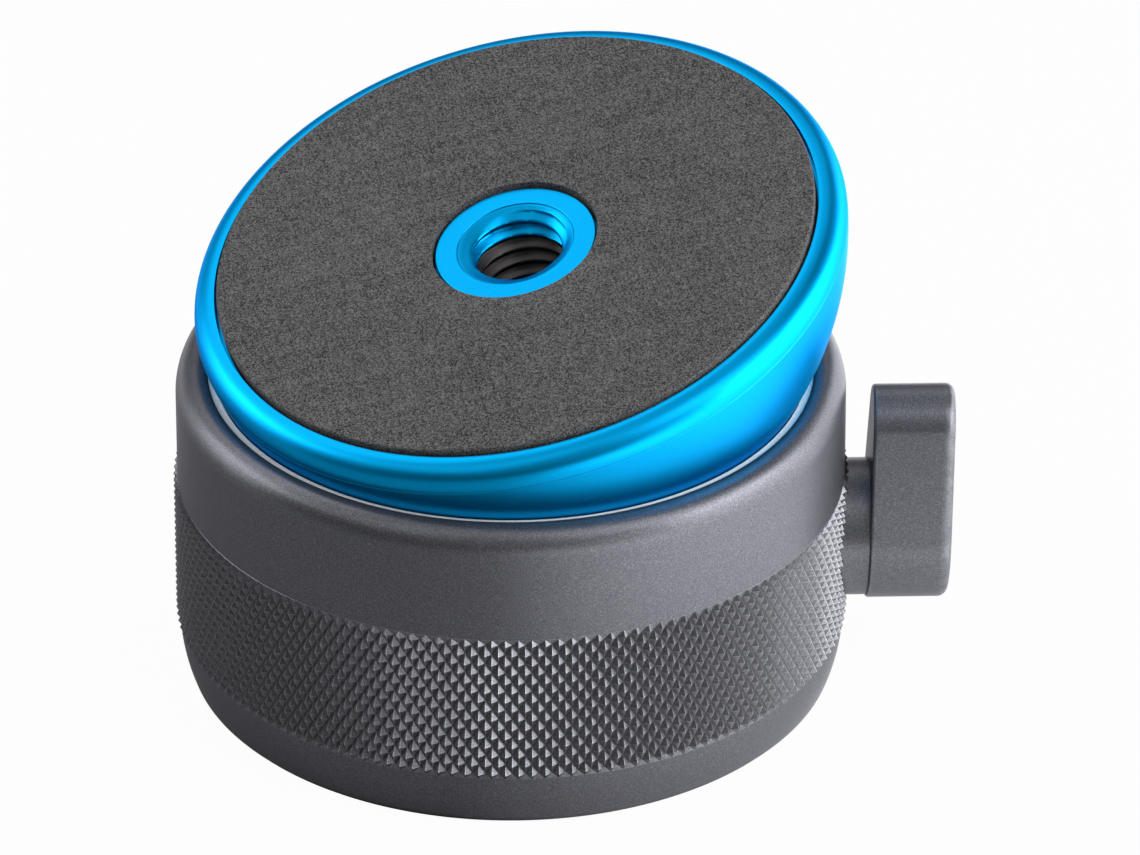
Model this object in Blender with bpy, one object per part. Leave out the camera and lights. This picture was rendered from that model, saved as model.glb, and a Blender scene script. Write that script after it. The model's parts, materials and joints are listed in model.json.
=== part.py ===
"""Tripod leveling head: a hollow ball in a cup, drawn down and held by an eccentric lever.

Units are metres, +Z is up, and the origin lies on the body's axis at the base.
The ball is modelled in the pose of the photograph, tilted towards the front left.
"""
import bpy
import bmesh
from math import asin, atan2, ceil, cos, floor, pi, radians, sin, sqrt, tan
from mathutils import Matrix, Vector

# Fits
GAP = 0.0003
SNUG_GAP = 0.00025
OVERRUN = 0.0010

# Facets around a turned piece
LARGE_SIDES = 48
MEDIUM_SIDES = 32
SMALL_SIDES = 24
SCREW_SIDES = 12

# Screw thread of both sockets, three eighths of an inch with 16 turns to the inch
INCH = 0.0254
THREAD_PITCH = INCH / 16
THREAD_MAJOR_RADIUS = INCH * 3 / 16
THREAD_DEPTH = 0.00076
THREAD_ROWS_PER_TURN = 4
THREAD_FLANK_SHARE = 0.36

# Ball
BALL_RADIUS = 0.0300
BALL_WALL = 0.0040
BALL_FOOT_ANGLE = radians(40.29)
FLANK_WALL = 0.0027
LEDGE_DROP = 0.0083
REST_TILT = radians(16.4)
REST_HEADING = radians(220.6)

# Camera plate on top of the ball
FACE_DROP = 0.0020
RIM_ROUNDING = 0.00204
RIM_LAND = 0.0002
PLATE_FLOOR = 0.0033
SPIGOT_WALL = 0.0038
BOSS_RADIUS = 0.0073
BOSS_SKIRT_WALL = 0.0022
MOUTH_RADIUS = 0.0053
BLUE_SOCKET_DEPTH = 0.0027

# Pad on the camera plate
PAD_THICKNESS = 0.0014
PAD_PROUD = 0.0005
PAD_EDGE = 0.0001

# Threaded insert under the boss
INSERT_RADIUS = 0.0066
INSERT_CLEARANCE = 0.0011
INSERT_FLANGE_WIDTH = 0.0018
INSERT_FLANGE_THICKNESS = 0.0008

# Countersunk screws of the camera plate and of the base plate
SCREW_RADIUS = 0.0012
SCREW_HEAD_RADIUS = 0.0023
SCREW_KEY_HALF_WIDTH = 0.00075
SCREW_KEY_DEPTH = 0.0009
PLATE_SCREW_COUNT = 3
PLATE_SCREW_GRIP = 0.0036
BASE_SCREW_COUNT = 4
BASE_SCREW_GRIP = 0.0045
BASE_SCREW_INSET = 0.0052

# Linings inside the ball
LINER_THICKNESS = 0.0008
LINER_SETBACK = 0.0011
WASHER_THICKNESS = 0.0012
WASHER_MARGIN = radians(2.6)

# Clamp lever, its shaft and its eccentric pin
LEVER_HEIGHT = 0.0127
LEVER_STANDOFF = 0.0020
LEVER_THICKNESS = 0.0074
LEVER_ROOT_RADIUS = 0.00645
LEVER_TIP_RADIUS = 0.0037
LEVER_REACH = 0.0106
LEVER_LEAN = radians(2.0)
LEVER_OUTER_EDGE = 0.0014
LEVER_INNER_EDGE = 0.0003
HUB_RADIUS = 0.0062
SHAFT_RADIUS = 0.0040
SHAFT_IN_LEVER = 0.0040
NECK_RADIUS = 0.0024
NECK_LENGTH = 0.0036
ECCENTRICITY = 0.0005
PIN_RADIUS = 0.00175
PIN_PAST_AXIS = 0.0060

# Shaft bush, thrust washer and set screws
BUSH_WALL = 0.0012
BUSH_LENGTH = 0.0079
SPOT_FACE_DEPTH = 0.0018
THRUST_WASHER_RADIUS = 0.0060
THRUST_WASHER_THICKNESS = 0.00085
SET_SCREW_RADIUS = 0.0014
DOG_RADIUS = 0.0009
GROOVE_DEPTH = 0.0007
GROOVE_OFFSET = 0.0018

# Draw rod, head and nut
ROD_RADIUS = 0.0050
ROD_THREAD_RADIUS = 0.0040
DRAW_BLOCK_RADIUS = 0.0112
BLOCK_BELOW_SHAFT = 0.0035
BLOCK_ABOVE_SHAFT = 0.0033
HEAD_MARGIN = radians(2)
HEAD_EDGE_THICKNESS = 0.0009
HEAD_SEAT_THICKNESS = 0.0017
NUT_HALF_WIDTH = 0.0065
NUT_HEIGHT = 0.0024
NUT_POCKET_CLEARANCE = 0.0015

# Housing
DISH_WALL_OVER_SHAFT = 0.00054
RING_TOP_DROP = 0.0141
RING_HEIGHT = 0.0045
RING_WALL = 0.00022
RING_GAP = 0.00015
LIP_ABOVE_RING = 0.0003
SHOULDER_REACH = 0.00195
SHOULDER_RISE = 0.0026
KNURL_BOTTOM = 0.0053
KNURL_TOP = 0.01975
KNURL_PROUD = 0.00036
KNURL_SUNK = 0.00017
KNURL_END = 0.0001
KNURL_DIAMONDS = 120
KNURL_HALF_ROWS = 11
FOOT_TUCK = 0.0011
FOOT_EDGE = 0.0006
FOOT_WALL = 0.0048

# Base plate and its threaded bush
BASE_THICKNESS = 0.0040
BASE_BOSS_RADIUS = 0.0080
BASE_BUSH_CLEARANCE = 0.0014
BASE_BUSH_RADIUS = 0.0060
BASE_BUSH_FLANGE = 0.0010
HEAD_RECESS = 0.0005

# Spring that lifts the draw rod
SPRING_WIRE_RADIUS = 0.00045
SPRING_TURNS = 2.6
SPRING_STEPS_PER_TURN = 14
SPRING_WIRE_SIDES = 6

# Sizes that follow from those above
BODY_RADIUS = BALL_RADIUS
BALL_INNER_RADIUS = BALL_RADIUS - BALL_WALL
DISH_RADIUS = BALL_RADIUS + 2 * GAP
RING_INNER_SPHERE = BALL_RADIUS + RING_GAP
LINER_OUTER = BALL_INNER_RADIUS - GAP
LINER_INNER = LINER_OUTER - LINER_THICKNESS
WASHER_OUTER = LINER_INNER - GAP
WASHER_INNER = WASHER_OUTER - WASHER_THICKNESS
HEAD_SPHERE = WASHER_INNER - GAP
DRAW_BORE = DRAW_BLOCK_RADIUS + GAP
NECK_BORE = NECK_RADIUS + GAP
SHAFT_BORE = SHAFT_RADIUS + GAP
BUSH_RADIUS = SHAFT_BORE + BUSH_WALL
THREAD_MINOR_RADIUS = THREAD_MAJOR_RADIUS - THREAD_DEPTH
DISH_EDGE_HEIGHT = LEVER_HEIGHT + NECK_BORE + DISH_WALL_OVER_SHAFT
BALL_HEIGHT = DISH_EDGE_HEIGHT + sqrt(DISH_RADIUS ** 2 - DRAW_BORE ** 2)
RING_TOP = BALL_HEIGHT - RING_TOP_DROP
RING_BOTTOM = RING_TOP - RING_HEIGHT
LIP_TOP = RING_TOP + LIP_ABOVE_RING
BALL_CENTRE = Vector((0, 0, BALL_HEIGHT))
TILT_FRAME = (
    Matrix.Translation(BALL_CENTRE)
    @ Matrix.Rotation(REST_HEADING, 4, "Z")
    @ Matrix.Rotation(REST_TILT, 4, "Y")
    @ Matrix.Rotation(-REST_HEADING, 4, "Z")
)
LEVER_FRAME = Matrix.Translation((0, 0, LEVER_HEIGHT))
ALONG_X = Matrix.Rotation(pi / 2, 4, "Y")


def clear_scene():
    for thing in list(bpy.data.objects):
        bpy.data.objects.remove(thing, do_unlink=True)


def finish(name, colour, roughness, metallic):
    surface = bpy.data.materials.new(name)
    surface.use_nodes = True
    shader = surface.node_tree.nodes["Principled BSDF"]
    shader.inputs["Base Color"].default_value = (*colour, 1)
    shader.inputs["Roughness"].default_value = roughness
    shader.inputs["Metallic"].default_value = metallic
    surface.diffuse_color = (*colour, 1)
    return surface


def axis_empty(name, matrix):
    empty = bpy.data.objects.new(name, None)
    empty.matrix_world = matrix
    bpy.context.collection.objects.link(empty)
    return empty


def add_object(name, mesh, surface=None, parent=None, place=Matrix()):
    """Make an object of a bmesh. With a parent, its place is given in the parent's frame."""
    data = bpy.data.meshes.new(name)
    mesh.to_mesh(data)
    mesh.free()
    thing = bpy.data.objects.new(name, data)
    bpy.context.collection.objects.link(thing)
    thing.parent = parent
    thing.matrix_local = place
    if surface:
        data.materials.append(surface)
        data.shade_smooth()
        data.set_sharp_from_angle(angle=radians(32))
    return thing


def add_tool(name, mesh, parent=None, place=Matrix()):
    """A guide solid that only cuts or joins, and isn't part of the object."""
    tool = add_object(name, mesh, parent=parent, place=place)
    tool.hide_render = True
    tool.display_type = "WIRE"
    return tool


def boolean(thing, tool, operation="DIFFERENCE"):
    modifier = thing.modifiers.new(tool.name, "BOOLEAN")
    modifier.operation = operation
    modifier.solver = "EXACT"
    modifier.object = tool


def arc(centre, radius, start, stop, steps):
    """Points on an arc, as radius and height, from one angle to another."""
    points = []
    for step in range(steps + 1):
        angle = start + (stop - start) * step / steps
        points.append((centre[0] + radius * cos(angle), centre[1] + radius * sin(angle)))
    return points


def bowl(centre_height, radius, start, stop, steps):
    """Points on a sphere below its centre, by their angle from straight down."""
    return arc((0, centre_height), radius, start - pi / 2, stop - pi / 2, steps)


def sphere_height(centre_height, radius, at_radius):
    return centre_height - sqrt(radius ** 2 - at_radius ** 2)


def sphere_reach(radius, drop):
    return sqrt(radius ** 2 - drop ** 2)


def thread(angle, height):
    """Radius of the threaded bore: flat roots and crests joined by straight flanks."""
    turn = height / THREAD_PITCH - angle / (2 * pi)
    phase = turn - floor(turn)
    flank = THREAD_FLANK_SHARE
    flat = (1 - 2 * flank) / 2
    if phase < flank:
        share = phase / flank
    elif phase < flank + flat:
        share = 1
    elif phase < 2 * flank + flat:
        share = 1 - (phase - flank - flat) / flank
    else:
        share = 0
    return THREAD_MINOR_RADIUS + THREAD_DEPTH * share


def threaded_bore(bottom, top):
    """Rows of the threaded bore from its bottom to its top."""
    rows = ceil((top - bottom) / THREAD_PITCH * THREAD_ROWS_PER_TURN)
    return [(thread, bottom + (top - bottom) * row / rows) for row in range(rows + 1)]


def hexagon(half_width):
    """Radius of a hexagon at an angle, for a nut or a key socket."""
    def radius(angle, _height):
        sector = pi / 3
        return half_width / cos((angle % sector) - sector / 2)
    return radius


def knurl(angle, height):
    """Radius of the knurled band: tips of pyramids and crossings of grooves by turns."""
    column = round(angle / pi * KNURL_DIAMONDS)
    row = round((height - KNURL_BOTTOM) / (KNURL_TOP - KNURL_BOTTOM) * KNURL_HALF_ROWS)
    is_tip = (column + row) % 2 == 1
    return BODY_RADIUS + (KNURL_PROUD if is_tip else -KNURL_SUNK)


def knurled_band():
    """Rows of the knurled band from its bottom to its top, each with its own number of sides."""
    bottom = KNURL_BOTTOM + KNURL_END
    rise = KNURL_TOP - KNURL_END - bottom
    return [(knurl, bottom + rise * row / KNURL_HALF_ROWS, 2 * KNURL_DIAMONDS) for row in range(KNURL_HALF_ROWS + 1)]


def turned(outline, sides):
    """Turn a closed outline of radius and height around Z. A radius of zero is a pole."""
    mesh = bmesh.new()
    rings = []
    for radius, height, *own_sides in outline:
        count = own_sides[0] if own_sides else sides
        if radius == 0:
            rings.append([mesh.verts.new((0, 0, height))])
            continue
        ring = []
        for side in range(count):
            angle = 2 * pi * side / count
            reach = radius(angle, height) if callable(radius) else radius
            ring.append(mesh.verts.new((reach * cos(angle), reach * sin(angle), height)))
        rings.append(ring)
    for index, ring in enumerate(rings):
        following = rings[(index + 1) % len(rings)]
        if len(ring) == 1 and len(following) == 1:
            continue
        if len(ring) == len(following) > sides:
            join_knurl(mesh, ring, following)
        elif len(ring) > sides or len(following) > sides:
            join_uneven(mesh, ring, following)
        else:
            join_even(mesh, ring, following, sides)
    bmesh.ops.recalc_face_normals(mesh, faces=mesh.faces[:])
    return mesh


def join_even(mesh, ring, following, sides):
    for side in range(sides):
        after = (side + 1) % sides
        corners = [ring[side % len(ring)], ring[after % len(ring)]]
        corners += [following[after % len(following)], following[side % len(following)]]
        mesh.faces.new(list(dict.fromkeys(corners)))


def join_knurl(mesh, ring, following):
    """Split each cell along its groove, which joins the two points nearest the axis."""
    for side in range(len(ring)):
        after = (side + 1) % len(ring)
        first, second, third, fourth = ring[side], ring[after], following[after], following[side]
        if first.co.xy.length < second.co.xy.length:
            mesh.faces.new((first, second, third))
            mesh.faces.new((first, third, fourth))
        else:
            mesh.faces.new((second, third, fourth))
            mesh.faces.new((second, fourth, first))


def join_uneven(mesh, ring, following):
    """Join two rings with different numbers of points by triangles, in step around the axis."""
    here = there = 0
    while here < len(ring) or there < len(following):
        corners = [ring[here % len(ring)], following[there % len(following)]]
        if (here + 1) * len(following) <= (there + 1) * len(ring):
            here += 1
            corners.append(ring[here % len(ring)])
        else:
            there += 1
            corners.append(following[there % len(following)])
        mesh.faces.new(corners)


def moved(mesh, matrix):
    bmesh.ops.transform(mesh, matrix=matrix, verts=mesh.verts[:])
    return mesh


def box(size, centre):
    mesh = bmesh.new()
    bmesh.ops.create_cube(mesh, size=1, matrix=Matrix.Translation(centre) @ Matrix.Diagonal((*size, 1)))
    return mesh


def rod_outline(radius, bottom, top):
    return [(0, bottom), (radius, bottom), (radius, top), (0, top)]


def tube_outline(inner, outer, bottom, top):
    return [(inner, bottom), (outer, bottom), (outer, top), (inner, top)]


def countersunk_screw(length):
    """A screw along -Z with the top of its head at zero and a hexagon key socket."""
    neck = SCREW_HEAD_RADIUS - SCREW_RADIUS
    return turned([
        (0, -SCREW_KEY_DEPTH),
        (hexagon(SCREW_KEY_HALF_WIDTH), -SCREW_KEY_DEPTH),
        (hexagon(SCREW_KEY_HALF_WIDTH), 0),
        (SCREW_HEAD_RADIUS, 0),
        (SCREW_RADIUS, -neck),
        (SCREW_RADIUS, -length),
        (0, -length),
    ], SCREW_SIDES)


def countersunk_hole(length):
    """The clearance around a countersunk screw, open at the top."""
    neck = SCREW_HEAD_RADIUS - SCREW_RADIUS
    hole = SCREW_RADIUS + GAP
    mouth = hole + neck
    return turned([
        (0, OVERRUN),
        (mouth, OVERRUN),
        (mouth, 0),
        (hole, -neck),
        (hole, -length),
        (0, -length),
    ], SCREW_SIDES)


def set_screw(length, dog_length):
    """A headless screw along +Z with a dog point and a hexagon key socket."""
    key = SCREW_KEY_HALF_WIDTH
    return turned([
        (0, key),
        (hexagon(key), key),
        (hexagon(key), 0),
        (SET_SCREW_RADIUS, 0),
        (SET_SCREW_RADIUS, length),
        (DOG_RADIUS, length),
        (DOG_RADIUS, length + dog_length),
        (0, length + dog_length),
    ], SCREW_SIDES)


def around(count, radius, phase=0):
    """Places spaced evenly around the axis."""
    for index in range(count):
        angle = phase + 2 * pi * index / count
        yield index + 1, Vector((radius * cos(angle), radius * sin(angle), 0))


# Ball sizes, in the ball's own frame with its centre at zero
FACE = -FACE_DROP
RIM_CENTRE_HEIGHT = FACE - RIM_ROUNDING
RIM_CENTRE_RADIUS = sphere_reach(BALL_RADIUS - RIM_ROUNDING, RIM_CENTRE_HEIGHT)
RIM_END = atan2(RIM_CENTRE_HEIGHT, RIM_CENTRE_RADIUS)
SEAM = BALL_RADIUS * sin(RIM_END)
SEAM_RADIUS = BALL_RADIUS * cos(RIM_END)
RECESS_RADIUS = RIM_CENTRE_RADIUS - RIM_LAND
PAD_TOP = FACE + PAD_PROUD
PAD_BOTTOM = PAD_TOP - PAD_THICKNESS
PLATE_TOP = PAD_BOTTOM - GAP
PLATE_UNDERSIDE = PLATE_TOP - PLATE_FLOOR
LEDGE = -LEDGE_DROP
SPIGOT_BOTTOM = LEDGE + GAP
COUNTERBORE_RADIUS = SEAM_RADIUS - FLANK_WALL
SPIGOT_RADIUS = COUNTERBORE_RADIUS - GAP
SPIGOT_INNER_RADIUS = SPIGOT_RADIUS - SPIGOT_WALL
LEDGE_INNER_RADIUS = SPIGOT_INNER_RADIUS - GAP
PLATE_SCREW_CIRCLE = (SPIGOT_INNER_RADIUS + SPIGOT_RADIUS) / 2
BLUE_SOCKET_END = FACE - BLUE_SOCKET_DEPTH
INSERT_TOP = BLUE_SOCKET_END - GAP
INSERT_POCKET = INSERT_RADIUS + GAP
INSERT_FLANGE_RADIUS = INSERT_RADIUS + INSERT_FLANGE_WIDTH
BALL_FOOT = -BALL_RADIUS * cos(BALL_FOOT_ANGLE)

LEDGE_ANGLE = asin(LEDGE_INNER_RADIUS / BALL_INNER_RADIUS)
OPENING_ANGLE = atan2(sphere_reach(BALL_INNER_RADIUS, BALL_FOOT), -BALL_FOOT)
LINER_FROM = OPENING_ANGLE + GAP / BALL_INNER_RADIUS
LINER_TO = LEDGE_ANGLE - LINER_SETBACK / BALL_INNER_RADIUS
WASHER_TO = asin((LEDGE_INNER_RADIUS - GAP) / WASHER_OUTER) - REST_TILT - WASHER_MARGIN
HEAD_TO = WASHER_TO - HEAD_MARGIN


def make_top_plate(surface, parent):
    chamfer = MOUTH_RADIUS - THREAD_MAJOR_RADIUS
    outline = threaded_bore(BLUE_SOCKET_END, FACE - chamfer)
    outline += [
        (MOUTH_RADIUS, FACE),
        (BOSS_RADIUS, FACE),
        (BOSS_RADIUS, PLATE_TOP),
        (RECESS_RADIUS, PLATE_TOP),
        (RECESS_RADIUS, FACE),
    ]
    outline += arc((RIM_CENTRE_RADIUS, RIM_CENTRE_HEIGHT), RIM_ROUNDING, pi / 2, RIM_END, 5)
    outline += [
        (SPIGOT_RADIUS, SEAM),
        (SPIGOT_RADIUS, SPIGOT_BOTTOM),
        (SPIGOT_INNER_RADIUS, SPIGOT_BOTTOM),
        (SPIGOT_INNER_RADIUS, PLATE_UNDERSIDE),
        (INSERT_POCKET + BOSS_SKIRT_WALL, PLATE_UNDERSIDE),
        (INSERT_POCKET + BOSS_SKIRT_WALL, BOSS_BOTTOM),
        (INSERT_POCKET, BOSS_BOTTOM),
        (INSERT_POCKET, BLUE_SOCKET_END),
    ]
    plate = add_object("top_plate", turned(outline, LARGE_SIDES), surface, parent)
    for number, spot in around(PLATE_SCREW_COUNT, PLATE_SCREW_CIRCLE):
        hole = turned_hole_through(PLATE_TOP - SPIGOT_BOTTOM)
        place = Matrix.Translation(spot + Vector((0, 0, PLATE_TOP - GAP)))
        boolean(plate, add_tool(f"plate_hole_{number}", hole, parent, place))


def turned_hole_through(thickness):
    return countersunk_hole(thickness + OVERRUN)


def make_ball_shell(surface, parent):
    outer_to = atan2(sphere_reach(BALL_RADIUS, SEAM - GAP), GAP - SEAM)
    outline = bowl(0, BALL_RADIUS, BALL_FOOT_ANGLE, outer_to, 8)
    outline += [
        (COUNTERBORE_RADIUS, SEAM - GAP),
        (COUNTERBORE_RADIUS, LEDGE),
        (LEDGE_INNER_RADIUS, LEDGE),
    ]
    outline += bowl(0, BALL_INNER_RADIUS, LEDGE_ANGLE, OPENING_ANGLE, 5)
    shell = add_object("ball_shell", turned(outline, LARGE_SIDES), surface, parent)
    for number, spot in around(PLATE_SCREW_COUNT, PLATE_SCREW_CIRCLE):
        hole = turned(rod_outline(SCREW_RADIUS + GAP, -PLATE_SCREW_GRIP - GAP, OVERRUN), SCREW_SIDES)
        place = Matrix.Translation(spot + Vector((0, 0, LEDGE)))
        boolean(shell, add_tool(f"shell_hole_{number}", hole, parent, place))


def make_top_pad(surface, parent):
    inner = BOSS_RADIUS + SNUG_GAP
    outer = RECESS_RADIUS - SNUG_GAP
    outline = [
        (inner, PAD_BOTTOM),
        (outer, PAD_BOTTOM),
        (outer, PAD_TOP - PAD_EDGE),
        (outer - PAD_EDGE, PAD_TOP),
        (inner + PAD_EDGE, PAD_TOP),
        (inner, PAD_TOP - PAD_EDGE),
    ]
    add_object("top_pad", turned(outline, LARGE_SIDES), surface, parent)


def make_thread_insert(surface, parent):
    flange_top = INSERT_BOTTOM + INSERT_FLANGE_THICKNESS
    outline = threaded_bore(INSERT_BOTTOM, INSERT_TOP)
    outline += [
        (INSERT_RADIUS, INSERT_TOP),
        (INSERT_RADIUS, flange_top),
        (INSERT_FLANGE_RADIUS, flange_top),
        (INSERT_FLANGE_RADIUS, INSERT_BOTTOM),
    ]
    add_object("thread_insert", turned(outline, SMALL_SIDES), surface, parent)


def make_plate_screws(surface, parent):
    head = PLATE_TOP - GAP
    length = head - LEDGE + PLATE_SCREW_GRIP
    for number, spot in around(PLATE_SCREW_COUNT, PLATE_SCREW_CIRCLE):
        place = Matrix.Translation(spot + Vector((0, 0, head)))
        add_object(f"plate_screw_{number}", countersunk_screw(length), surface, parent, place)


def make_ball_liner(surface, parent):
    outline = bowl(0, LINER_OUTER, LINER_FROM, LINER_TO, 4)
    outline += bowl(0, LINER_INNER, LINER_TO, LINER_FROM, 4)
    add_object("ball_liner", turned(outline, MEDIUM_SIDES), surface, parent)


def make_drag_washer(surface, parent):
    start = asin((ROD_RADIUS + GAP) / WASHER_INNER)
    outline = bowl(0, WASHER_OUTER, start, WASHER_TO, 4)
    outline += bowl(0, WASHER_INNER, WASHER_TO, start, 4)
    add_object("drag_washer", turned(outline, MEDIUM_SIDES), surface, parent)


# Draw rod sizes, as heights above the base
BLOCK_BOTTOM = LEVER_HEIGHT - BLOCK_BELOW_SHAFT
BLOCK_TOP = LEVER_HEIGHT + BLOCK_ABOVE_SHAFT
PIN_HEIGHT = LEVER_HEIGHT - ECCENTRICITY
SLOT_HALF_HEIGHT = PIN_RADIUS + GAP
SLOT_HALF_WIDTH = SLOT_HALF_HEIGHT + ECCENTRICITY
ROD_BORE = ROD_RADIUS + GAP
HEAD_EDGE_RADIUS = HEAD_SPHERE * sin(HEAD_TO)
HEAD_TOP = BALL_HEIGHT - HEAD_SPHERE * cos(HEAD_TO) + HEAD_EDGE_THICKNESS
HEAD_SEAT = sphere_height(BALL_HEIGHT, HEAD_SPHERE, ROD_BORE) + 2 * HEAD_SEAT_THICKNESS
ROD_SHOULDER = HEAD_SEAT - HEAD_SEAT_THICKNESS - GAP
NUT_BOTTOM = HEAD_SEAT + GAP
NUT_TOP = NUT_BOTTOM + NUT_HEIGHT
ROD_TOP = NUT_TOP + GAP

# The insert's end, clear of the rod's top with the ball tilted, in the ball's own frame
INSERT_LOWEST = ROD_TOP + INSERT_CLEARANCE - BALL_HEIGHT
INSERT_BOTTOM = (INSERT_LOWEST + INSERT_FLANGE_RADIUS * sin(REST_TILT)) / cos(REST_TILT)
BOSS_BOTTOM = INSERT_BOTTOM + INSERT_FLANGE_THICKNESS + GAP


def make_draw_rod(surface):
    outline = [
        (0, BLOCK_BOTTOM),
        (DRAW_BLOCK_RADIUS, BLOCK_BOTTOM),
        (DRAW_BLOCK_RADIUS, BLOCK_TOP),
        (ROD_RADIUS, BLOCK_TOP),
        (ROD_RADIUS, ROD_SHOULDER),
        (ROD_THREAD_RADIUS, ROD_SHOULDER),
        (ROD_THREAD_RADIUS, ROD_TOP),
        (0, ROD_TOP),
    ]
    rod = add_object("draw_rod", turned(outline, MEDIUM_SIDES), surface)
    length = 2 * (DRAW_BLOCK_RADIUS + OVERRUN)
    slot = box((length, 2 * SLOT_HALF_WIDTH, 2 * SLOT_HALF_HEIGHT), (0, 0, PIN_HEIGHT))
    boolean(rod, add_tool("pin_slot", slot))


def make_draw_head(surface):
    start = asin(ROD_BORE / HEAD_SPHERE)
    pocket = NUT_HALF_WIDTH + NUT_POCKET_CLEARANCE
    outline = bowl(BALL_HEIGHT, HEAD_SPHERE, start, HEAD_TO, 5)
    outline += [
        (HEAD_EDGE_RADIUS, HEAD_TOP),
        (pocket, HEAD_TOP),
        (pocket, HEAD_SEAT),
        (ROD_THREAD_RADIUS + GAP, HEAD_SEAT),
        (ROD_THREAD_RADIUS + GAP, ROD_SHOULDER + GAP),
        (ROD_BORE, ROD_SHOULDER + GAP),
    ]
    add_object("draw_head", turned(outline, MEDIUM_SIDES), surface)


def make_draw_nut(surface):
    bore = ROD_THREAD_RADIUS + GAP
    outside = hexagon(NUT_HALF_WIDTH)
    outline = [(bore, NUT_BOTTOM), (outside, NUT_BOTTOM), (outside, NUT_TOP), (bore, NUT_TOP)]
    add_object("draw_nut", turned(outline, SMALL_SIDES), surface)


def make_release_spring(surface):
    """A coil between the base plate and the draw rod, swept as one closed tube."""
    coil_radius = BASE_BOSS_RADIUS + GAP + SPRING_WIRE_RADIUS
    bottom = BASE_THICKNESS + GAP + SPRING_WIRE_RADIUS
    rise = BLOCK_BOTTOM - GAP - SPRING_WIRE_RADIUS - bottom
    mesh = bmesh.new()
    rings = []
    steps = round(SPRING_TURNS * SPRING_STEPS_PER_TURN)
    for step in range(steps + 1):
        share = step / steps
        angle = 2 * pi * SPRING_TURNS * share
        outward = Vector((cos(angle), sin(angle), 0))
        along = Vector((-sin(angle) * coil_radius, cos(angle) * coil_radius, rise / (2 * pi * SPRING_TURNS)))
        upward = along.cross(outward).normalized()
        centre = outward * coil_radius + Vector((0, 0, bottom + rise * share))
        ring = []
        for side in range(SPRING_WIRE_SIDES):
            turn = 2 * pi * side / SPRING_WIRE_SIDES
            ring.append(mesh.verts.new(centre + SPRING_WIRE_RADIUS * (outward * cos(turn) + upward * sin(turn))))
        rings.append(ring)
    for ring, following in zip(rings, rings[1:]):
        for side in range(SPRING_WIRE_SIDES):
            after = (side + 1) % SPRING_WIRE_SIDES
            mesh.faces.new((ring[side], ring[after], following[after], following[side]))
    mesh.faces.new(rings[0])
    mesh.faces.new(rings[-1])
    bmesh.ops.recalc_face_normals(mesh, faces=mesh.faces[:])
    add_object("release_spring", mesh, surface)


# Places along the lever's shaft, as distances from the body's axis
SPOT_FACE = BODY_RADIUS - SPOT_FACE_DEPTH
BUSH_OUT = SPOT_FACE - GAP
BUSH_IN = BUSH_OUT - BUSH_LENGTH
BUSH_POCKET = BUSH_RADIUS + GAP
THRUST_WASHER_IN = SPOT_FACE + GAP
THRUST_WASHER_OUT = THRUST_WASHER_IN + THRUST_WASHER_THICKNESS
HUB_IN = THRUST_WASHER_OUT + GAP
LEVER_IN = BODY_RADIUS + LEVER_STANDOFF
LEVER_OUT = LEVER_IN + LEVER_THICKNESS
SHAFT_OUT = LEVER_IN + SHAFT_IN_LEVER
SHAFT_IN = DRAW_BORE + NECK_LENGTH + GAP
GROOVE_PLACE = BUSH_IN - GROOVE_OFFSET
GROOVE_HALF_WIDTH = DOG_RADIUS + GAP
GROOVE_RADIUS = SHAFT_RADIUS - GROOVE_DEPTH
RECESS_TOP = BASE_THICKNESS + GAP
LEVER_SCREW_PLACE = (LEVER_IN + SHAFT_OUT) / 2


def make_shaft_bush(surface, parent):
    outline = tube_outline(SHAFT_BORE, BUSH_RADIUS, BUSH_IN, BUSH_OUT)
    add_object("shaft_bush", moved(turned(outline, MEDIUM_SIDES), ALONG_X), surface, parent)


def make_thrust_washer(surface, parent):
    outline = tube_outline(SHAFT_BORE, THRUST_WASHER_RADIUS, THRUST_WASHER_IN, THRUST_WASHER_OUT)
    add_object("thrust_washer", moved(turned(outline, MEDIUM_SIDES), ALONG_X), surface, parent)


def make_eccentric_shaft(surface, parent):
    """Shaft, neck and offset pin in one piece. The pin is at its lowest when clamped."""
    pin_end = -PIN_PAST_AXIS
    neck_end = DRAW_BORE + GAP
    outline = [
        (0, neck_end),
        (NECK_RADIUS, neck_end),
        (NECK_RADIUS, SHAFT_IN),
        (SHAFT_RADIUS, SHAFT_IN),
        (SHAFT_RADIUS, GROOVE_PLACE - GROOVE_HALF_WIDTH),
        (GROOVE_RADIUS, GROOVE_PLACE - GROOVE_HALF_WIDTH),
        (GROOVE_RADIUS, GROOVE_PLACE + GROOVE_HALF_WIDTH),
        (SHAFT_RADIUS, GROOVE_PLACE + GROOVE_HALF_WIDTH),
        (SHAFT_RADIUS, SHAFT_OUT),
        (0, SHAFT_OUT),
    ]
    shaft = add_object("eccentric_shaft", moved(turned(outline, SMALL_SIDES), ALONG_X), surface, parent)
    pin = moved(turned(rod_outline(PIN_RADIUS, pin_end, neck_end + OVERRUN), SMALL_SIDES), ALONG_X)
    place = Matrix.Translation((0, 0, -ECCENTRICITY))
    boolean(shaft, add_tool("eccentric_pin", pin, parent, place), "UNION")


def teardrop(inset):
    """Outline of the lever around its shaft, as across and up, pulled in by an inset."""
    root = LEVER_ROOT_RADIUS - inset
    tip = LEVER_TIP_RADIUS - inset
    lean = asin((LEVER_ROOT_RADIUS - LEVER_TIP_RADIUS) / LEVER_REACH)
    points = arc((0, LEVER_REACH), tip, lean, pi - lean, 10)
    points += arc((0, 0), root, pi - lean, 2 * pi + lean, 14)
    return points


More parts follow.
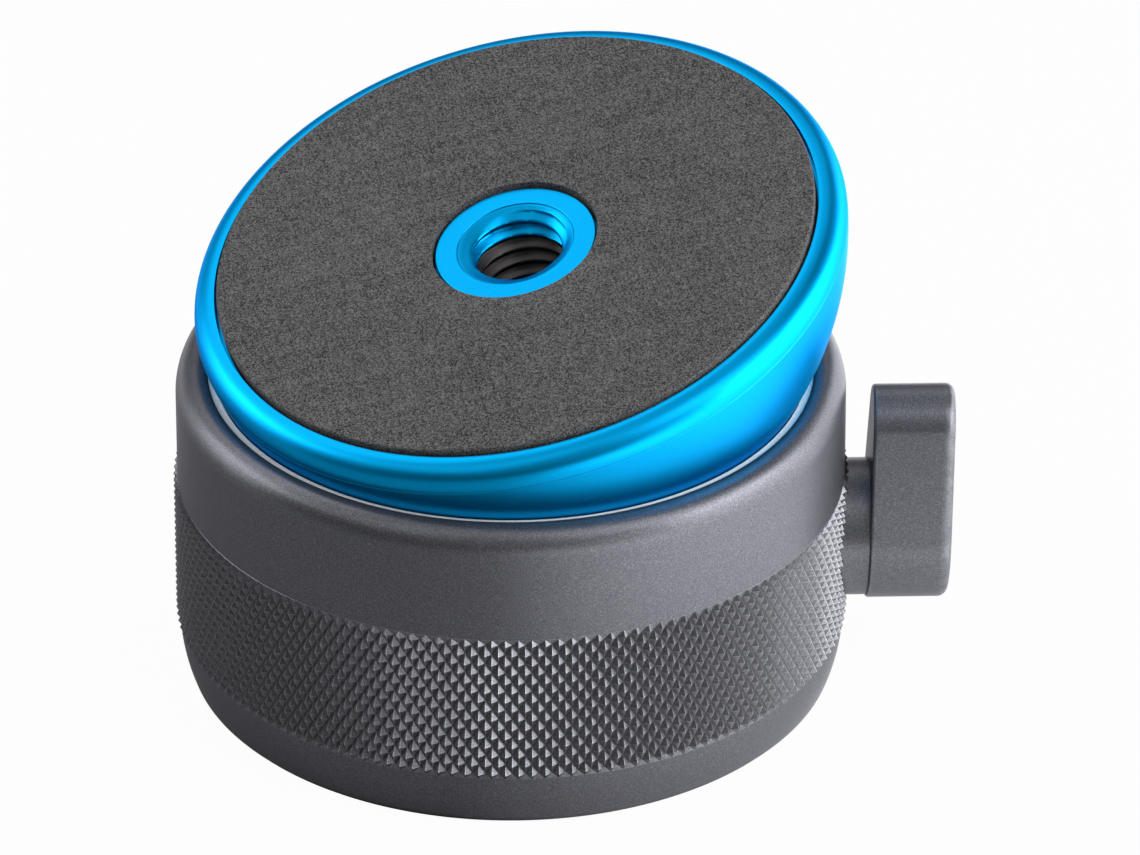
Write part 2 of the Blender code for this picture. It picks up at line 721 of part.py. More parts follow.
def make_clamp_lever(surface, parent):
    mesh = bmesh.new()
    edge = LEVER_OUTER_EDGE
    sections = [(LEVER_IN, LEVER_INNER_EDGE), (LEVER_IN + LEVER_INNER_EDGE, 0)]
    sections += [
        (LEVER_OUT - edge + edge * sin(turn), edge - edge * cos(turn))
        for turn in (0, pi / 8, pi / 4, 3 * pi / 8, pi / 2)
    ]
    rings = []
    for distance, inset in sections:
        ring = []
        for across, up in teardrop(inset):
            ring.append(mesh.verts.new((distance + up * tan(LEVER_LEAN), across, up)))
        rings.append(ring)
    for ring, following in zip(rings, rings[1:]):
        for index in range(len(ring)):
            after = (index + 1) % len(ring)
            mesh.faces.new((ring[index], ring[after], following[after], following[index]))
    mesh.faces.new(rings[0])
    mesh.faces.new(rings[-1])
    bmesh.ops.recalc_face_normals(mesh, faces=mesh.faces[:])
    lever = add_object("clamp_lever", mesh, surface, parent)
    hub_end = LEVER_IN + LEVER_THICKNESS / 2
    hub = moved(turned(rod_outline(HUB_RADIUS, HUB_IN, hub_end), MEDIUM_SIDES), ALONG_X)
    boolean(lever, add_tool("lever_hub", hub, parent), "UNION")
    bore = moved(turned(rod_outline(SHAFT_BORE, HUB_IN - OVERRUN, SHAFT_OUT + GAP), SMALL_SIDES), ALONG_X)
    boolean(lever, add_tool("lever_bore", bore, parent))
    screw_hole = turned(rod_outline(SET_SCREW_RADIUS + GAP, -LEVER_ROOT_RADIUS - OVERRUN, -SHAFT_RADIUS), SCREW_SIDES)
    place = Matrix.Translation((LEVER_SCREW_PLACE, 0, 0))
    boolean(lever, add_tool("lever_screw_hole", screw_hole, parent, place))


def make_lever_grub_screw(surface, parent):
    length = LEVER_ROOT_RADIUS - SHAFT_RADIUS - 2 * GAP
    place = Matrix.Translation((LEVER_SCREW_PLACE, 0, GAP - LEVER_ROOT_RADIUS))
    screw = turned([
        (0, SCREW_KEY_HALF_WIDTH),
        (hexagon(SCREW_KEY_HALF_WIDTH), SCREW_KEY_HALF_WIDTH),
        (hexagon(SCREW_KEY_HALF_WIDTH), 0),
        (SET_SCREW_RADIUS, 0),
        (SET_SCREW_RADIUS, length),
        (0, length),
    ], SCREW_SIDES)
    add_object("lever_grub_screw", screw, surface, parent, place)


# Housing sizes
RING_RADIUS = sphere_reach(RING_INNER_SPHERE, RING_TOP_DROP) + RING_WALL
RING_POCKET = RING_RADIUS + SNUG_GAP
RING_POCKET_FLOOR = RING_BOTTOM - GAP
FOOT_RADIUS = BODY_RADIUS - FOOT_TUCK
BASE_RECESS_RADIUS = FOOT_RADIUS - FOOT_WALL
BASE_RADIUS = BASE_RECESS_RADIUS - GAP
BASE_SCREW_CIRCLE = BASE_RADIUS - BASE_SCREW_INSET
SHOULDER_CENTRE = BODY_RADIUS - SHOULDER_REACH


def make_housing(surface):
    tuck_radius = (FOOT_TUCK ** 2 + KNURL_BOTTOM ** 2) / (2 * FOOT_TUCK)
    tuck_from = asin((FOOT_EDGE - KNURL_BOTTOM) / tuck_radius)
    lip_angle = pi / 2 - asin((RING_POCKET - SHOULDER_CENTRE) / SHOULDER_REACH)
    dish_from = asin(DRAW_BORE / DISH_RADIUS)
    dish_to = atan2(sphere_reach(DISH_RADIUS, BALL_HEIGHT - RING_POCKET_FLOOR), BALL_HEIGHT - RING_POCKET_FLOOR)
    outline = [
        (BASE_RECESS_RADIUS, 0),
        (FOOT_RADIUS - FOOT_EDGE, 0),
    ]
    outline += arc((BODY_RADIUS - tuck_radius, KNURL_BOTTOM), tuck_radius, tuck_from, 0, 3)
    outline += knurled_band()
    outline += [(BODY_RADIUS, KNURL_TOP)]
    outline += [
        (SHOULDER_CENTRE + (radius - SHOULDER_CENTRE) * SHOULDER_REACH / SHOULDER_RISE, height)
        for radius, height in arc((SHOULDER_CENTRE, LIP_TOP - SHOULDER_RISE), SHOULDER_RISE, 0, lip_angle, 6)
    ]
    outline += [(RING_POCKET, RING_POCKET_FLOOR)]
    outline += bowl(BALL_HEIGHT, DISH_RADIUS, dish_to, dish_from, 6)
    outline += [
        (DRAW_BORE, RECESS_TOP),
        (BASE_RECESS_RADIUS, RECESS_TOP),
    ]
    housing = add_object("housing", turned(outline, LARGE_SIDES), surface)
    half_side = Matrix.Rotation(pi / MEDIUM_SIDES, 4, "X")
    boolean(housing, add_tool("shaft_bore", shaft_bore(), place=LEVER_FRAME @ half_side))
    screw_hole = turned(rod_outline(SET_SCREW_RADIUS + GAP, RECESS_TOP - OVERRUN, LEVER_HEIGHT), SCREW_SIDES)
    place = Matrix.Translation((GROOVE_PLACE, 0, 0)) @ Matrix.Rotation(pi / SCREW_SIDES, 4, "Z")
    boolean(housing, add_tool("retaining_screw_hole", screw_hole, place=place))
    depth = RECESS_TOP + BASE_SCREW_GRIP + GAP
    for number, spot in around(BASE_SCREW_COUNT, BASE_SCREW_CIRCLE, pi / BASE_SCREW_COUNT):
        hole = turned(rod_outline(SCREW_RADIUS + GAP, RECESS_TOP - OVERRUN, depth), SCREW_SIDES)
        boolean(housing, add_tool(f"housing_hole_{number}", hole, place=Matrix.Translation(spot)))


def shaft_bore():
    """The stepped bore for neck, shaft, bush and spot face, along X from the draw bore out."""
    spot = HUB_RADIUS + GAP
    outside = BODY_RADIUS + KNURL_PROUD + OVERRUN
    return moved(turned([
        (0, DRAW_BORE - OVERRUN),
        (NECK_BORE, DRAW_BORE - OVERRUN),
        (NECK_BORE, SHAFT_IN - GAP),
        (SHAFT_BORE, SHAFT_IN - GAP),
        (SHAFT_BORE, BUSH_IN - GAP),
        (BUSH_POCKET, BUSH_IN - GAP),
        (BUSH_POCKET, SPOT_FACE),
        (spot, SPOT_FACE),
        (spot, outside),
        (0, outside),
    ], MEDIUM_SIDES), ALONG_X)


def make_seat_ring(surface):
    low = BALL_HEIGHT - RING_BOTTOM
    start = atan2(sphere_reach(RING_INNER_SPHERE, low), low)
    stop = atan2(sphere_reach(RING_INNER_SPHERE, RING_TOP_DROP), RING_TOP_DROP)
    outline = bowl(BALL_HEIGHT, RING_INNER_SPHERE, start, stop, 4)
    outline += [(RING_RADIUS, RING_TOP), (RING_RADIUS, RING_BOTTOM)]
    add_object("seat_ring", turned(outline, LARGE_SIDES), surface)


BASE_BUSH_BOTTOM = GAP
BASE_BUSH_TOP = BLOCK_BOTTOM - BASE_BUSH_CLEARANCE
BASE_BOSS_TOP = BASE_BUSH_TOP - BASE_BUSH_FLANGE - GAP


def make_base_plate(surface):
    outline = [
        (BASE_BUSH_RADIUS + GAP, 0),
        (BASE_RADIUS, 0),
        (BASE_RADIUS, BASE_THICKNESS),
        (BASE_BOSS_RADIUS, BASE_THICKNESS),
        (BASE_BOSS_RADIUS, BASE_BOSS_TOP),
        (BASE_BUSH_RADIUS + GAP, BASE_BOSS_TOP),
    ]
    plate = add_object("base_plate", turned(outline, LARGE_SIDES), surface)
    for number, spot in around(BASE_SCREW_COUNT, BASE_SCREW_CIRCLE, pi / BASE_SCREW_COUNT):
        hole = moved(countersunk_hole(BASE_THICKNESS + OVERRUN), Matrix.Rotation(pi, 4, "X"))
        place = Matrix.Translation(spot + Vector((0, 0, HEAD_RECESS)))
        boolean(plate, add_tool(f"base_hole_{number}", hole, place=place))


def make_base_bush(surface):
    outline = threaded_bore(BASE_BUSH_BOTTOM, BASE_BUSH_TOP)
    outline += [
        (BASE_BOSS_RADIUS - SNUG_GAP, BASE_BUSH_TOP),
        (BASE_BOSS_RADIUS - SNUG_GAP, BASE_BUSH_TOP - BASE_BUSH_FLANGE),
        (BASE_BUSH_RADIUS, BASE_BUSH_TOP - BASE_BUSH_FLANGE),
        (BASE_BUSH_RADIUS, BASE_BUSH_BOTTOM),
    ]
    add_object("base_bush", turned(outline, SMALL_SIDES), surface)


def make_base_screws(surface):
    length = RECESS_TOP + BASE_SCREW_GRIP - HEAD_RECESS
    for number, spot in around(BASE_SCREW_COUNT, BASE_SCREW_CIRCLE, pi / BASE_SCREW_COUNT):
        screw = moved(countersunk_screw(length), Matrix.Rotation(pi, 4, "X"))
        place = Matrix.Translation(spot + Vector((0, 0, HEAD_RECESS)))
        add_object(f"base_screw_{number}", screw, surface, place=place)


def make_retaining_screw(surface):
    bottom = RECESS_TOP + GAP
    length = LEVER_HEIGHT - SHAFT_RADIUS - GAP - bottom
    place = Matrix.Translation((GROOVE_PLACE, 0, bottom))
    add_object("retaining_screw", set_screw(length, GROOVE_DEPTH), surface, place=place)


def main():
    clear_scene()
    blue = finish("blue_anodised_aluminium", (0.0, 0.31, 0.79), 0.28, 0.85)
    grey = finish("blasted_grey_aluminium", (0.13, 0.13, 0.145), 0.5, 0.7)
    pad = finish("resin_cork_pad", (0.065, 0.065, 0.067), 0.85, 0)
    light_polymer = finish("light_bearing_polymer", (0.62, 0.6, 0.56), 0.5, 0)
    dark_polymer = finish("dark_bearing_polymer", (0.04, 0.04, 0.04), 0.5, 0)
    steel = finish("bright_steel", (0.55, 0.55, 0.56), 0.3, 1)
    black_steel = finish("blackened_steel", (0.03, 0.03, 0.032), 0.4, 1)
    bronze = finish("bearing_bronze", (0.55, 0.36, 0.16), 0.4, 1)

    heading_axis = axis_empty("heading_axis", Matrix.Translation(BALL_CENTRE))
    tilt_axis = axis_empty("tilt_axis", TILT_FRAME)
    ball_axis = axis_empty("ball_axis", TILT_FRAME)
    lever_axis = axis_empty("lever_axis", LEVER_FRAME)

    make_top_plate(blue, ball_axis)
    make_ball_shell(blue, ball_axis)
    make_top_pad(pad, ball_axis)
    make_thread_insert(black_steel, ball_axis)
    make_plate_screws(steel, ball_axis)
    make_ball_liner(dark_polymer, tilt_axis)
    make_drag_washer(bronze, heading_axis)

    make_draw_rod(steel)
    make_draw_head(steel)
    make_draw_nut(black_steel)
    make_release_spring(steel)

    make_housing(grey)
    make_seat_ring(light_polymer)
    make_base_plate(grey)
    make_base_bush(steel)
    make_base_screws(black_steel)
    make_retaining_screw(black_steel)
    make_shaft_bush(bronze, lever_axis)

    make_clamp_lever(grey, lever_axis)
    make_eccentric_shaft(steel, lever_axis)
    make_lever_grub_screw(black_steel, lever_axis)
    make_thrust_washer(dark_polymer, lever_axis)


main()
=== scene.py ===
# %% [markdown]
# # A tripod leveling head, dressed piece by piece
# The real object is a hollow blue ball held in a grey knurled cup by a short lever.
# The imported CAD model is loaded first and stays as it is. It gives every place and axis below.
# Each visible piece is then made again with finer facets and real rounded edges. A subdivided
# copy of the CAD mesh would be quicker, but its facets are too coarse to round cleanly.

# %% Load the frame
import json
from math import acos, asin, atan2, cos, pi, radians, sin, sqrt, tan

import bmesh
import bpy
from mathutils import Matrix, Vector


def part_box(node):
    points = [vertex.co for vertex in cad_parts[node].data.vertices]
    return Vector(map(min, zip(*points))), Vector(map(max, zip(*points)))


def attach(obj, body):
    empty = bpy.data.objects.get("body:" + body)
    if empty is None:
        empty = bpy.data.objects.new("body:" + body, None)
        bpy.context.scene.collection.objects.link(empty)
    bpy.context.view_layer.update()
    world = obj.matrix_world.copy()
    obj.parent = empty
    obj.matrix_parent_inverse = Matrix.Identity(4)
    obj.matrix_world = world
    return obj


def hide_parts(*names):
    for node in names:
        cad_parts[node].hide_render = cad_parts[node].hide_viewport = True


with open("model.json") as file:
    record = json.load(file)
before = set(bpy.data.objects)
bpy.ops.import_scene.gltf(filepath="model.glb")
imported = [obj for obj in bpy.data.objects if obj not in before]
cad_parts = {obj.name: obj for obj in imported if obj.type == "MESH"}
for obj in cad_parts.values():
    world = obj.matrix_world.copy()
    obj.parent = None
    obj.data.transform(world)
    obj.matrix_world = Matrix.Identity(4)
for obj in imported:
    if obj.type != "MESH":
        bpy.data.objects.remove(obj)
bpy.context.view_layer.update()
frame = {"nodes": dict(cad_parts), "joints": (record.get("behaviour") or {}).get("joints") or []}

print("nodes:", len(frame["nodes"]))

# %% [markdown]
# ## Sizes
# The joints give the ball's centre, its axis and the lever's axis. The boxes of the CAD nodes
# give the outer sizes. Only the sizes that a box can't tell are written here, in millimetres.

# %% Sizes from the frame
MM = 0.001
joints = {joint["name"]: joint for joint in frame["joints"]}
BALL_CENTRE = Vector(joints["ball_tilt"]["pos_m"])
BALL_AXIS = Vector(joints["ball_pan"]["axis"])
LEVER_CENTRE = Vector(joints["lever_turn"]["pos_m"])
BALL_TURN = Vector((0, 0, 1)).rotation_difference(BALL_AXIS)
BALL_FRAME = Matrix.Translation(BALL_CENTRE) @ BALL_TURN.to_matrix().to_4x4()
ALONG_X = Matrix.Rotation(pi / 2, 4, "Y")
LEVER_FRAME = Matrix.Translation(LEVER_CENTRE)
UPRIGHT = Matrix()

CREST_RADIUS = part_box("housing")[1].y
LIP_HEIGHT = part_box("housing")[1].z
KNURL_PROUD = 0.36 * MM
KNURL_SUNK = 0.09 * MM
BODY_RADIUS = CREST_RADIUS - KNURL_PROUD
BALL_RADIUS = BODY_RADIUS
GAP = 0.3 * MM
FINE_GAP = 0.12 * MM
INCH = 25.4 * MM
THREAD_PITCH = INCH / 16
THREAD_MAJOR = INCH * 3 / 16
THREAD_DEPTH = 0.76 * MM
THREAD_MINOR = THREAD_MAJOR - THREAD_DEPTH
print("body radius in mm:", round(BODY_RADIUS / MM, 2))
print("height of the ball's centre in mm:", round(BALL_CENTRE.z / MM, 2))

# %% [markdown]
# ## Turned shapes
# Most pieces come off a lathe, so one helper turns an outline around Z. An outline is a list of
# corners: radius, height and rounding. A small rounding on every edge is what makes metal look
# machined, because it catches a thin line of light. A Bevel modifier could round the edges too,
# but here each corner has its own rounding, so the outline is rounded before it is turned.
# A guard point on each side of a rounding keeps the flat faces flat when they are shaded
# smooth. The edge attribute marks the roundings, so that a finish can wear there.

# %% Helpers for outlines
ROUNDING_STEPS = 4
LONGEST_REACH_SHARE = 0.45
GUARD_SHARE = 0.4
GUARD_ROOM_SHARE = 0.04
NEARLY_STRAIGHT = pi - 0.001


def arc(centre, radius, start, stop, steps):
    """Corners along an arc, from one angle to another."""
    turns = [start + (stop - start) * step / steps for step in range(steps + 1)]
    return [(centre[0] + radius * cos(turn), centre[1] + radius * sin(turn), 0) for turn in turns]


def bowl(radius, start, stop, steps, centre_height=0.0):
    """Corners on a sphere, by their angle from straight down."""
    return arc((0, centre_height), radius, start - pi / 2, stop - pi / 2, steps)


def rounded(corners):
    """Round the corners of a closed outline. Gives radius, height and edge mark of each point."""
    points = []
    for index, (radius, height, rounding) in enumerate(corners):
        here = Vector((radius, height))
        if rounding == 0:
            points.append((radius, height, 0.0))
            continue
        before = Vector(corners[index - 1][:2]) - here
        after = Vector(corners[(index + 1) % len(corners)][:2]) - here
        room = min(before.length, after.length)
        before.normalize()
        after.normalize()
        opening = acos(max(-1, min(1, before.dot(after))))
        reach = min(rounding / tan(opening / 2), room * LONGEST_REACH_SHARE)
        size = reach * tan(opening / 2)
        centre = here + (before + after).normalized() * (size / sin(opening / 2))
        start = here + before * reach - centre
        stop = here + after * reach - centre
        guard = min(reach * GUARD_SHARE, room * GUARD_ROOM_SHARE)
        first = here + before * (reach + guard)
        points.append((first.x, first.y, 0.0))
        for step in range(ROUNDING_STEPS + 1):
            spot = here
            if opening < NEARLY_STRAIGHT:
                spot = centre + start.slerp(stop, step / ROUNDING_STEPS) * size
            points.append((spot.x, spot.y, 1.0))
        last = here + after * (reach + guard)
        points.append((last.x, last.y, 0.0))
    return points


# %% Helpers for turned pieces
LARGE_SIDES = 240
SMALL_SIDES = 72
SCREW_SIDES = 36
SHARP_ANGLE = radians(40)


def shade(mesh):
    mesh.shade_smooth()
    mesh.set_sharp_from_angle(angle=SHARP_ANGLE)


def new_object(name, data):
    """Put an object with this data in the scene, at the origin."""
    made = bpy.data.objects.new(name, data)
    bpy.context.scene.collection.objects.link(made)
    return made


def add_piece(name, shape, place=UPRIGHT):
    """Make an object of a bmesh, with its place in its mesh and its object at the origin."""
    bmesh.ops.transform(shape, matrix=place, verts=shape.verts[:])
    bmesh.ops.recalc_face_normals(shape, faces=shape.faces[:])
    data = bpy.data.meshes.new(name)
    shape.to_mesh(data)
    shape.free()
    shade(data)
    return new_object(name, data)


def turned(name, corners, sides=LARGE_SIDES, place=UPRIGHT):
    """Turn a closed outline around Z. A radius of zero makes a pole."""
    shape = bmesh.new()
    edge_mark = shape.verts.layers.float.new("edge")
    rings = []
    for radius, height, mark in rounded(corners):
        count = sides if radius > 0 else 1
        ring = []
        for side in range(count):
            turn = 2 * pi * side / sides
            vertex = shape.verts.new((radius * cos(turn), radius * sin(turn), height))
            vertex[edge_mark] = mark
            ring.append(vertex)
        rings.append(ring)
    for index, ring in enumerate(rings):
        following = rings[(index + 1) % len(rings)]
        if len(ring) == 1 and len(following) == 1:
            continue
        for side in range(sides):
            after = (side + 1) % sides
            corner = [ring[side % len(ring)], ring[after % len(ring)]]
            corner += [following[after % len(following)], following[side % len(following)]]
            shape.faces.new(list(dict.fromkeys(corner)))
    return add_piece(name, shape, place)


# %% Helpers for modifiers
def frozen(piece):
    """Turn an object with modifiers into a plain mesh."""
    graph = bpy.context.evaluated_depsgraph_get()
    mesh = bpy.data.meshes.new_from_object(piece.evaluated_get(graph))
    piece.modifiers.clear()
    piece.data = mesh
    return piece


def combined(piece, tool, operation="DIFFERENCE"):
    """Cut or join one piece with another, which is then removed."""
    modifier = piece.modifiers.new(operation, "BOOLEAN")
    modifier.operation = operation
    modifier.solver = "EXACT"
    modifier.object = tool
    frozen(piece)
    bpy.data.objects.remove(tool)
    shade(piece.data)
    return piece


def report(piece):
    triangles = sum(len(face.vertices) - 2 for face in piece.data.polygons)
    print(piece.name, "has", triangles, "triangles")
    return piece


# %% [markdown]
# ## Node trees
# Geometry Nodes and shader nodes are built with the same helpers. One adds a node and wires or
# sets its inputs, one does a sum, and the rest are short forms of these. A tree could be drawn
# by hand in the node editor, but as a script it can be read and built again at any size. Its
# own inputs are its named sizes.

# %% Helpers for node trees
def add_node(tree, kind, inputs=None, **settings):
    made = tree.nodes.new(kind)
    for name, value in settings.items():
        setattr(made, name, value)
    for name, value in (inputs or {}).items():
        if isinstance(value, bpy.types.NodeSocket):
            tree.links.new(value, made.inputs[name])
        else:
            made.inputs[name].default_value = value
    return made


def calc(tree, operation, first, second=0.0, third=0.0):
    sockets = {0: first, 1: second, 2: third}
    return add_node(tree, "ShaderNodeMath", sockets, operation=operation).outputs[0]


def clamped(tree, value):
    """A value kept between zero and one."""
    return calc(tree, "MINIMUM", calc(tree, "MAXIMUM", value, 0.0), 1.0)


def parts_of(tree, vector):
    """The X, Y and Z of a vector."""
    return add_node(tree, "ShaderNodeSeparateXYZ", {"Vector": vector}).outputs


def vector_of(tree, **parts):
    return add_node(tree, "ShaderNodeCombineXYZ", parts).outputs[0]


def from_axis(tree, parts):
    """How far a point lies from the Z axis."""
    flat = vector_of(tree, X=parts["X"], Y=parts["Y"])
    return add_node(tree, "ShaderNodeVectorMath", {0: flat}, operation="LENGTH").outputs["Value"]


def spread(tree, value, low, high, to_low=0.0, to_high=1.0):
    """Stretch a value from one range to another, and clamp it there."""
    sockets = {"Value": value, "From Min": low, "From Max": high, "To Min": to_low, "To Max": to_high}
    return add_node(tree, "ShaderNodeMapRange", sockets, clamp=True).outputs["Result"]


def new_tree(name, kind, inputs, outputs):
    """A node group with named inputs and outputs."""
    tree = bpy.data.node_groups.new(name, kind)
    for label, socket, value in inputs:
        made = tree.interface.new_socket(label, in_out="INPUT", socket_type=socket)
        if value is not None:
            made.default_value = value
    for label, socket in outputs:
        tree.interface.new_socket(label, in_out="OUTPUT", socket_type=socket)
    get = tree.nodes.new("NodeGroupInput").outputs
    put = tree.nodes.new("NodeGroupOutput").inputs
    return tree, get, put


# %% Helpers for grown pieces
def grown(name, tree, sizes):
    """Run a Geometry Nodes tree on an empty mesh and keep the result as a plain mesh."""
    piece = new_object(name, bpy.data.meshes.new(name))
    modifier = piece.modifiers.new(name, "NODES")
    modifier.node_group = tree
    for item in tree.interface.items_tree:
        if item.item_type == "SOCKET" and item.in_out == "INPUT":
            modifier[item.identifier] = sizes[item.name]
    return frozen(piece)


def outward(piece, place=UPRIGHT, smooth=False):
    """Put a grown mesh in its place and turn its faces outwards."""
    shape = bmesh.new()
    shape.from_mesh(piece.data)
    bmesh.ops.transform(shape, matrix=place, verts=shape.verts[:])
    bmesh.ops.recalc_face_normals(shape, faces=shape.faces[:])
    shape.to_mesh(piece.data)
    shape.free()
    if smooth:
        shade(piece.data)
    return piece


# %% [markdown]
# ## Camera
# The photograph was taken from a metre away with a long lens, from 31 degrees above. The place
# and the lens were found by fitting the outlines of the body, the ball and the pad. Moving the
# camera by eye is quicker, but a fitted one also tells the sizes.

# %% Camera
CAMERA_PLACE = Vector((-16.78, -842.95, 529.5)) * MM
CAMERA_ELEVATION = radians(30.97)
CAMERA_HEADING = radians(-1.5)
CAMERA_LENS = 346.2
CAMERA_SENSOR = 36
camera = new_object("camera", bpy.data.cameras.new("camera"))
camera.data.lens = CAMERA_LENS
camera.data.sensor_width = CAMERA_SENSOR
camera.data.clip_start = 0.01
camera.data.clip_end = 20
camera.location = CAMERA_PLACE
camera.rotation_euler = (pi / 2 - CAMERA_ELEVATION, 0, CAMERA_HEADING)
bpy.context.scene.camera = camera
print("camera distance in mm:", round(CAMERA_PLACE.length / MM))

# %% [markdown]
# ## Shared effects for the finishes
# Four effects serve several finishes, so each is a shader node group with named inputs:
# blasted grain, turning lines, edge wear and soft smudges. Scanned images could show them too,
# but noise has no seams and stays sharp from any distance. The groups give heights and masks,
# and the material feeds these to the shader's colour, roughness and normal.

# %% Blasted grain
FLOAT = "NodeSocketFloat"
VECTOR = "NodeSocketVector"
COARSE_SHARE = 0.37


def noise(tree, vector, scale, detail=2.0, roughness=0.5, **more):
    sockets = {"Vector": vector, "Scale": scale, "Detail": detail, "Roughness": roughness}
    return add_node(tree, "ShaderNodeTexNoise", sockets, **more).outputs["Fac"]


def make_grain():
    """Fine pits and bright specks of a blasted surface. Size is the grain's size in metres."""
    inputs = [("Vector", VECTOR, None), ("Size", FLOAT, 0.15 * MM)]
    outputs = [("Height", FLOAT), ("Specks", FLOAT)]
    tree, get, put = new_tree("blasted_grain", "ShaderNodeTree", inputs, outputs)
    scale = calc(tree, "DIVIDE", 1.0, get["Size"])
    fine = noise(tree, get["Vector"], scale, detail=1.0)
    coarse = noise(tree, get["Vector"], calc(tree, "MULTIPLY", scale, COARSE_SHARE), detail=1.0)
    height = calc(tree, "MULTIPLY_ADD", coarse, 0.5, fine)
    tree.links.new(height, put["Height"])
    tree.links.new(spread(tree, fine, 0.42, 0.72), put["Specks"])
    return tree


GRAIN = make_grain()
print("shared effect:", GRAIN.name)


# %% Turning lines
def make_turning():
    """Fine lines that a lathe tool leaves, around Z. They follow radius and height."""
    inputs = [("Vector", VECTOR, None), ("Spacing", FLOAT, 0.1 * MM)]
    tree, get, put = new_tree("turning_lines", "ShaderNodeTree", inputs, [("Height", FLOAT)])
    parts = parts_of(tree, get["Vector"])
    line = vector_of(tree, X=from_axis(tree, parts), Y=parts["Z"])
    scale = calc(tree, "DIVIDE", 1.0, get["Spacing"])
    lines = noise(tree, line, scale, detail=3.0, roughness=0.7, noise_dimensions="2D")
    tree.links.new(lines, put["Height"])
    return tree


TURNING = make_turning()
print("shared effect:", TURNING.name)

# %% Edge wear and soft smudges
WEAR_PATCHES = 900.0
SMUDGE_PATCHES = 60.0


def make_wear():
    """Patchy wear along the edges that the edge attribute marks."""
    inputs = [("Vector", VECTOR, None), ("Edge", FLOAT, 0.0), ("Amount", FLOAT, 0.5)]
    tree, get, put = new_tree("edge_wear", "ShaderNodeTree", inputs, [("Mask", FLOAT)])
    patches = noise(tree, get["Vector"], WEAR_PATCHES, detail=4.0, roughness=0.65)
    mask = calc(tree, "MULTIPLY", get["Edge"], spread(tree, patches, 0.35, 0.7))
    tree.links.new(calc(tree, "MULTIPLY", mask, get["Amount"]), put["Mask"])
    return tree


def make_smudge():
    """Slow, soft changes from handling and dust."""
    inputs = [("Vector", VECTOR, None)]
    tree, get, put = new_tree("soft_smudge", "ShaderNodeTree", inputs, [("Mask", FLOAT)])
    broad = noise(tree, get["Vector"], SMUDGE_PATCHES, detail=4.0, roughness=0.55)
    tree.links.new(spread(tree, broad, 0.35, 0.7), put["Mask"])
    return tree


WEAR = make_wear()
SMUDGE = make_smudge()
print("shared effects:", WEAR.name, SMUDGE.name)


# %% Start of every material
def use_group(tree, group, inputs):
    return add_node(tree, "ShaderNodeGroup", inputs, node_tree=group).outputs


def full(colour):
    """A colour with its alpha. A socket stays as it is."""
    return colour if isinstance(colour, bpy.types.NodeSocket) else (*colour, 1)


def mix_colour(tree, share, first, second):
    sockets = {0: share, 6: full(first), 7: full(second)}
    return add_node(tree, "ShaderNodeMix", sockets, data_type="RGBA").outputs[2]


def new_material(name, place=UPRIGHT, **shader_values):
    """A material with its shader, and Object coordinates turned into the piece's own frame."""
    material = bpy.data.materials.new(name)
    material.use_nodes = True
    tree = material.node_tree
    shader = tree.nodes["Principled BSDF"]
    for socket, value in shader_values.items():
        shader.inputs[socket.replace("_", " ")].default_value = value
    vector = add_node(tree, "ShaderNodeTexCoord").outputs["Object"]
    if place != UPRIGHT:
        sockets = {"Vector": vector, "Location": place.to_translation(), "Rotation": place.to_euler()}
        vector = add_node(tree, "ShaderNodeMapping", sockets, vector_type="TEXTURE").outputs[0]
    return material, tree, shader, vector


def bump(tree, shader, height, strength, depth):
    sockets = {"Height": height, "Strength": strength, "Distance": depth}
    made = add_node(tree, "ShaderNodeBump", sockets)
    tree.links.new(made.outputs[0], shader.inputs["Normal"])


def edge_input(tree):
    return add_node(tree, "ShaderNodeAttribute", attribute_name="edge").outputs["Fac"]


# %% [markdown]
# ## Finishes
# The ball is aluminium, turned and anodised a clear bright blue: the metal shines through the
# dye, and the oxide skin gives a second, white gloss. Blue paint would look flat, so the shader
# is a blue metal with a thin coat. The cup and lever are blasted before they are anodised,
# which gives a soft, finely speckled grey. Every finish has a colour, a roughness and a bump
# that change a little over the surface, because an even one looks like plastic.

# %% Blue anodised aluminium
BLUE = (0.0, 0.305, 0.62)
BLUE_DEEP = (0.0, 0.24, 0.56)
BLUE_WORN = (0.02, 0.42, 0.74)
BLUE_EDGE = (0.02, 0.50, 0.95)
BLUE_WEAR = 0.35
BLUE_LINES = 0.09 * MM


def wear_mask(tree, vector, amount):
    return use_group(tree, WEAR, {"Vector": vector, "Edge": edge_input(tree), "Amount": amount})["Mask"]


def make_blue(name, place):
    material, tree, shader, vector = new_material(
        name, place, Metallic=1.0, Coat_Weight=0.03, Coat_Roughness=0.28, IOR=1.5
    )
    shader.inputs["Specular Tint"].default_value = full(BLUE_EDGE)
    lines = use_group(tree, TURNING, {"Vector": vector, "Spacing": BLUE_LINES})["Height"]
    smudge = use_group(tree, SMUDGE, {"Vector": vector})["Mask"]
    wear = wear_mask(tree, vector, BLUE_WEAR)
    tone = mix_colour(tree, spread(tree, lines, 0.2, 0.8, 0.0, 0.35), BLUE, BLUE_DEEP)
    colour = mix_colour(tree, wear, tone, BLUE_WORN)
    tree.links.new(colour, shader.inputs["Base Color"])
    rough = spread(tree, lines, 0.2, 0.8, 0.32, 0.39)
    rough = calc(tree, "MULTIPLY_ADD", smudge, 0.04, rough)
    tree.links.new(rough, shader.inputs["Roughness"])
    bump(tree, shader, lines, 0.12, 0.01 * MM)
    return material


# %% Blasted grey aluminium
GREY = (0.150, 0.152, 0.170)
GREY_PIT = (0.083, 0.084, 0.097)
GREY_WORN = (0.36, 0.36, 0.37)
GREY_EDGE = (0.62, 0.62, 0.65)
GREY_WEAR = 0.18
GREY_GRAIN = 0.12 * MM


